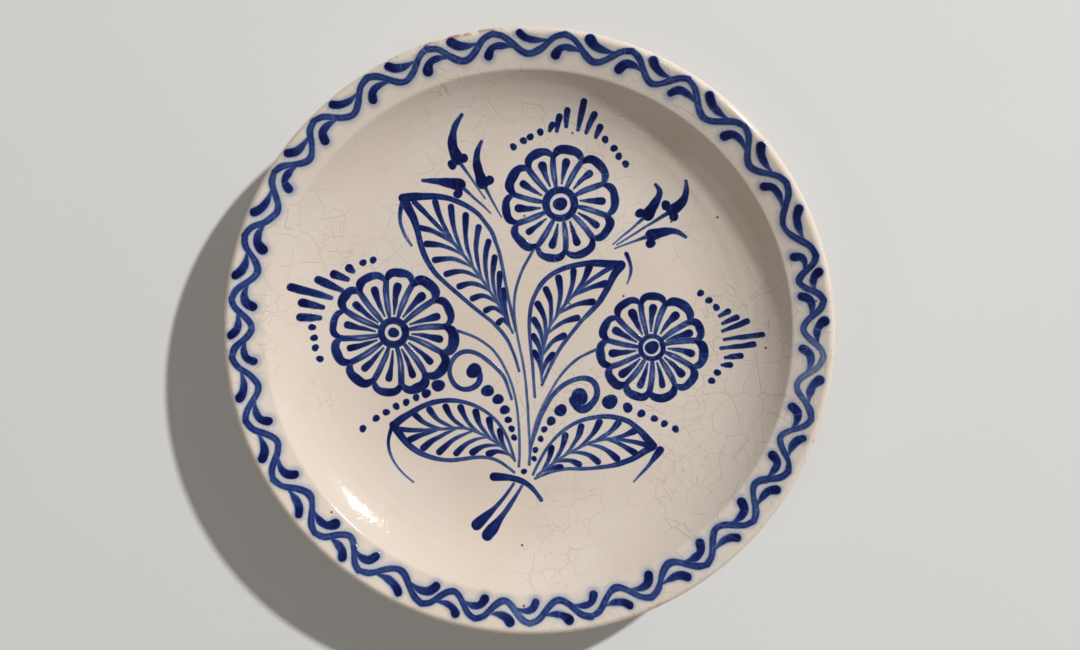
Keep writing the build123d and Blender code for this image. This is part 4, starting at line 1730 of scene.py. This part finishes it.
    def sprays(self) -> list[Motif]:
        """The sprays of buds.

        Returns:
            The motifs.
        """
        left = [
            (
                [(-34.5, 85), (-37, 92.5), (-35.8, 99.5), (-32, 106)],
                [(-37.2, 82.2), (-31.8, 85.2)],
                (-21.5, 65.8),
            ),
            ([(-22.5, 73.5), (-25, 81.4), (-25, 88), (-23, 93.4)], [(-19.2, 74.6)], (-13.5, 56.8)),
            ([(-33.8, 72.5), (-41.5, 73.8), (-46, 74.3), (-51.6, 74.5)], [(-34.5, 68.2)], (-18.5, 58.8)),
        ]
        right = [
            ([(58, 58), (61.7, 64.3), (63.6, 69), (61.5, 72.5)], [(54.2, 58.7)], (41.2, 43.6)),
            ([(69.5, 60), (74.6, 64.3), (76.3, 69.3), (76, 74.3)], [(66.6, 62.6), (70.6, 57.2)], (43, 43.4)),
            ([(59.7, 48), (65.8, 49.7), (71, 50), (76.3, 47.2)], [(59.4, 44)], (42, 41.6)),
        ]
        return [
            BudSpray(*self.common("bud_spray_left", 61), left),
            BudSpray(*self.common("bud_spray_right", 62), right),
        ]


@dataclass
class Border:
    """The vine and leaves round the flange."""

    section: Section
    bleed_reach: float = 1.4 * MM
    bleed_strength: float = 0.11
    trail_step: float = 0.8 * MM

    def motifs(self) -> list[Motif]:
        """The border's three motifs.

        Returns:
            The motifs.
        """
        waves = Waves(self.section)
        outer = ((0.26, 0.32), (0.44, 0.28), (0.58, 0.6), (0.635, 0.94))
        inner = ((0.74, -0.34), (0.91, -0.15), (1.04, -0.34), (1.11, -0.95))
        return [
            RimVine("rim_vine", Slot.BORDER, 1, waves),
            RimLeaves("rim_outer_leaves", Slot.BORDER, 2, waves, outer),
            RimLeaves("rim_inner_leaves", Slot.BORDER, 3, waves, inner),
        ]

    def bleeding(self) -> Bleeding:
        """The blue that the border lends the glaze.

        Returns:
            The bleeding, ready to be read.
        """
        made = Bleeding(self.bleed_reach, self.bleed_strength)
        for motif in self.motifs():
            for stroke in motif.strokes():
                made.follow(stroke, self.trail_step)
        made.settle()
        return made


# ---------------------------------------------------------------- the turned pieces
@dataclass
class GlazedFace:
    """The glaze over the well, the flange and the lip."""

    section: Section
    bleeding: Bleeding
    segments: int = 600

    def build(self, material: bpy.types.Material) -> bpy.types.Object:
        """Turn the face's glaze, which replaces its node, and store the blue beside the border.

        Args:
            material: the painted glaze.

        Returns:
            The object.
        """
        radii, heights, slopes = self.section.face(0.0, 1.0)
        under_radii, under_heights, _ = self.section.face(self.section.glaze, 0.35)
        all_radii = np.concatenate([radii, under_radii[::-1]])
        all_heights = np.concatenate([heights, under_heights[::-1]])

        def turn_by_hand(rings: np.ndarray, bearings: np.ndarray) -> tuple[np.ndarray, np.ndarray]:
            """Move the outer rings in by the relief.

            Args:
                rings: numbers of the rings.
                bearings: angles about the axis, in radians.

            Returns:
                Moves along the radius and in height.
            """
            ring = np.minimum(rings + 1, len(radii) - 1)
            depth = self.section.relief(radii[ring], bearings) * (rings + 1 < len(radii) - 20)
            slope = np.radians(slopes[ring])
            return depth * np.sin(slope), -depth * np.cos(slope)

        made = Turned(all_radii, all_heights, self.segments, turn_by_hand).build("glazed_face", material)
        places = np.array([vertex.co[:2] for vertex in made.data.vertices])
        shown = np.zeros(len(places))
        facing_up = np.clip((slopes[1:] + 60) / 50, 0.0, 1.0)
        shown[: len(facing_up) * self.segments] = np.repeat(facing_up, self.segments)
        middle = self.section.ridge_radius + self.section.flange_width / 2
        store(made, "cobalt", self.bleeding.at(places, middle) * shown)
        store(made, "brush", np.zeros((len(places), 3)))
        stand_in(made, "face_glaze")
        return made


@dataclass
class GlazedBack:
    """The glaze under the plate, from the foot ring to the lip and inside the foot ring."""

    section: Section
    segments: int = 420
    base_segments: int = 240
    base_rings: int = 40
    ridge_pitch: float = 0.0068
    ridge_depth: float = 0.00011

    def build(self, material: bpy.types.Material) -> list[bpy.types.Object]:
        """Turn the back's and the base's glaze, which replace their nodes.

        Args:
            material: the back's glaze.

        Returns:
            The back and the base.
        """
        radii, heights = self.section.back(0.0, 88)
        inner_radii, inner_heights = self.section.back(self.section.glaze, 12)
        outer_count = len(radii)
        loop_radii = np.concatenate([inner_radii, radii[::-1]])
        loop_heights = np.concatenate([inner_heights, heights[::-1]])

        def ridges(rings: np.ndarray, bearings: np.ndarray) -> tuple[np.ndarray, np.ndarray]:
            """Shallow turning ridges, none at the two ends.

            Args:
                rings: numbers of the rings.
                bearings: angles about the axis, in radians.

            Returns:
                Moves along the radius and in height.
            """
            ring = np.clip(len(loop_radii) - 1 - rings, 0, outer_count - 1)
            outer = rings >= len(inner_radii)
            ends = np.sin(pi * ring / (outer_count - 1)) ** 0.5 * outer
            wave = 0.5 + 0.5 * np.sin(2 * pi * radii[ring] / self.ridge_pitch + 0.8 * np.sin(bearings))
            depths = self.ridge_depth * wave * ends
            return np.zeros_like(depths), depths

        back = Turned(loop_radii, loop_heights, self.segments, ridges).build("glazed_back", material)
        reach, foot = self.section.foot_inside, self.section.foot_height
        across = np.linspace(0.0, reach, self.base_rings)
        hidden = across[::-6]
        base_radii = np.concatenate([across, hidden])
        base_radii[-1] = 0.0
        glaze_top = foot + self.section.glaze
        base_heights = np.concatenate([np.full_like(across, foot), np.full_like(hidden, glaze_top)])

        def spiral(rings: np.ndarray, bearings: np.ndarray) -> tuple[np.ndarray, np.ndarray]:
            """The shallow spiral that the turning tool left.

            Args:
                rings: numbers of the rings.
                bearings: angles about the axis, in radians.

            Returns:
                Moves along the radius and in height.
            """
            radius = base_radii[np.minimum(rings + 1, self.base_rings - 1)]
            wave = 0.5 + 0.5 * np.cos(2 * pi * radius / self.ridge_pitch - bearings)
            fade = np.clip(radius / 0.006, 0, 1) * np.clip((reach - radius) / 0.003, 0, 1)
            fade = fade * (rings + 1 < self.base_rings)
            depths = self.ridge_depth * wave * fade
            return np.zeros_like(depths), depths

        base = Turned(base_radii, base_heights, self.base_segments, spiral).build("glazed_base", material)
        stand_in(back, "back_glaze")
        stand_in(base, "base_glaze")
        return [back, base]


@dataclass
class FootRing:
    """The foot ring: leaning sides, rounded and rubbed rest face, a little uneven all round."""

    section: Section
    taper: float = 0.001
    rounding: float = 0.0012
    segments: int = 360
    unevenness: float = 0.00012

    def build(self, material: bpy.types.Material) -> bpy.types.Object:
        """Turn the foot ring, which replaces its node.

        Args:
            material: the bare clay.

        Returns:
            The object.
        """
        top, outside, inside = self.section.foot_height, self.section.foot_radius, self.section.foot_inside
        corners = [(inside, top), (inside + self.taper, 0.0), (outside - self.taper, 0.0), (outside, top)]
        radii, heights = [], []
        lean = degrees(asin(self.taper / hypot(self.taper, top)))
        for corner, first, last in ((corners[1], 180 + lean, 270), (corners[2], 270, 360 - lean)):
            away = self.rounding * tan(radians((last - first) / 2))
            side = 1 if first == 180 + lean else -1
            centre = (corner[0] + side * away, self.rounding)
            for turn in np.radians(np.linspace(first, last, 9)):
                radii.append(centre[0] + self.rounding * cos(turn))
                heights.append(centre[1] + self.rounding * sin(turn))
        inner_side = np.linspace(0.0, 1.0, 10)[:-1]
        first_radius, last_radius = radii[0], radii[-1]
        first_height, last_height = heights[0], heights[-1]
        left = [(inside + (first_radius - inside) * s, top + (first_height - top) * s) for s in inner_side]
        right = [(outside + (last_radius - outside) * s, top + (last_height - top) * s) for s in inner_side]
        points = left + list(zip(radii, heights)) + right[::-1]
        loop = np.array(points[::-1])

        def rub(rings: np.ndarray, bearings: np.ndarray) -> tuple[np.ndarray, np.ndarray]:
            """Lift the rest face a little where it was rubbed.

            Args:
                rings: numbers of the rings.
                bearings: angles about the axis, in radians.

            Returns:
                Moves along the radius and in height.
            """
            height = loop[rings, 1]
            sway = 0.5 + 0.3 * np.sin(5 * bearings + 1.0) + 0.2 * np.sin(11 * bearings)
            lift = np.where(height < self.rounding, self.unevenness * sway * (height > 1e-6), 0.0)
            return np.zeros_like(lift), lift

        made = Turned(loop[:, 0], loop[:, 1], self.segments, rub).build("turned_foot_ring", material)
        stand_in(made, "foot_ring")
        return made


@dataclass
class ClayBody:
    """The clay under the glaze, which keeps the frame's own shape."""

    node: str = "clay_body"

    def dress(self, material: bpy.types.Material) -> bpy.types.Object:
        """Give the node its clay.

        Args:
            material: the bare clay.

        Returns:
            The node.
        """
        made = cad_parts[self.node]
        made.data.materials.clear()
        made.data.materials.append(material)
        return made


# ---------------------------------------------------------------- studio
@dataclass
class Studio:
    """Floor, lights and camera."""

    sun_bearing: float = 42.0
    sun_rise: float = 35.0
    lamp_distance: float = 5.0
    lamp_size: float = 0.17
    lamp_power: float = 236.0
    lamp_colour: Colour = (1.0, 0.975, 0.955)
    fill_bearing: float = 215.0
    fill_rise: float = 42.0
    fill_size: float = 2.4
    fill_power: float = 21.0
    fill_colour: Colour = (1.0, 0.88, 0.77)
    sky_colour: Colour = (1.0, 0.945, 0.89)
    sky_strength: float = 0.195
    camera_way: tuple[float, float, float] = (0.03, 0.105, 0.994)
    camera_distance: float = 0.70
    seen_width: float = 0.557
    aim: tuple[float, float, float] = (0.0052, 0.0025, 0.0)
    floor_reach: float = 14.0
    floor_gap: float = 0.00005

    def lamp(
        self, name: str, bearing: float, rise: float, size: float, power: float, colour: Colour
    ) -> bpy.types.Object:
        """Hang a square soft lamp.

        Args:
            name: the lamp's name.
            bearing: its direction seen from above.
            rise: its height above the horizon, in degrees.
            size: the side of its square.
            power: in watts.
            colour: of its light.

        Returns:
            The lamp.
        """
        data = bpy.data.lights.new(name, "AREA")
        data.shape, data.size, data.energy, data.color = "SQUARE", size, power, colour
        lamp = bpy.data.objects.new(name, data)
        flat = cos(radians(rise))
        way = Vector((flat * cos(radians(bearing)), flat * sin(radians(bearing)), sin(radians(rise))))
        lamp.location = way * self.lamp_distance
        lamp.rotation_mode = "QUATERNION"
        lamp.rotation_quaternion = way.to_track_quat("Z", "Y")
        bpy.context.scene.collection.objects.link(lamp)
        return lamp

    def light(self) -> None:
        """Hang the lamps and set the plain sky."""
        key = (self.sun_bearing, self.sun_rise, self.lamp_size, self.lamp_power, self.lamp_colour)
        fill = (self.fill_bearing, self.fill_rise, self.fill_size, self.fill_power, self.fill_colour)
        self.lamp("key_lamp", *key)
        self.lamp("fill_lamp", *fill)
        world = bpy.data.worlds.new("plain_sky")
        world.use_nodes = True
        sky = world.node_tree.nodes["Background"]
        sky.inputs["Color"].default_value = (*self.sky_colour, 1.0)
        sky.inputs["Strength"].default_value = self.sky_strength
        bpy.context.scene.world = world
        bpy.context.scene.view_settings.view_transform = "Standard"

    def lay_floor(self, material: bpy.types.Material) -> bpy.types.Object:
        """Lay the floor, just under the foot ring.

        Args:
            material: the paper.

        Returns:
            The floor.
        """
        reach = self.floor_reach
        corners = [(-reach, -reach, 0.0), (reach, -reach, 0.0), (reach, reach, 0.0), (-reach, reach, 0.0)]
        floor = make_object("floor", np.array(corners), [(0, 1, 2, 3)], material)
        floor.location.z = -self.floor_gap
        return floor

    def set_camera(self) -> bpy.types.Object:
        """Hold the camera almost over the plate, with the bouquet upright.

        Returns:
            The camera.
        """
        data = bpy.data.cameras.new("camera")
        data.lens = data.sensor_width * self.camera_distance / self.seen_width
        camera = bpy.data.objects.new("camera", data)
        back = Vector(self.camera_way).normalized()
        right = Vector((0.0, 1.0, 0.0)).cross(back).normalized()
        up = back.cross(right)
        turned = Matrix((right, up, back)).transposed().to_4x4()
        camera.matrix_world = Matrix.Translation(Vector(self.aim) + back * self.camera_distance) @ turned
        bpy.context.scene.collection.objects.link(camera)
        bpy.context.scene.camera = camera
        return camera


def main() -> None:
    """Build the plate and the studio, and report each piece."""
    logging.basicConfig(level=logging.INFO, format="%(name)s: %(message)s")
    section = Section()
    border, bouquet = Border(section), Bouquet(section)
    bleeding = border.bleeding()
    glaze = PaintedGlaze()
    pieces = [ClayBody().dress(BareClay().material("body_clay"))]
    pieces.append(FootRing(section).build(BareClay().material("rubbed_clay")))
    pieces.append(GlazedFace(section, bleeding).build(glaze.material("crazed_white_glaze")))
    pieces += GlazedBack(section).build(BackGlaze().material("back_white_glaze"))
    finishes = {Slot.BORDER: glaze.material("border_cobalt"), Slot.BOUQUET: glaze.material("bouquet_cobalt")}
    for motif in border.motifs() + bouquet.motifs():
        pieces.append(motif.build(section, bleeding, finishes[motif.slot]))
    for piece in pieces:
        log.info("%s: %d faces", piece.name, len(piece.data.polygons))
    studio = Studio()
    studio.lay_floor(StudioFloor().material("pale_paper"))
    studio.light()
    studio.set_camera()


if __name__ == "__main__":
    main()
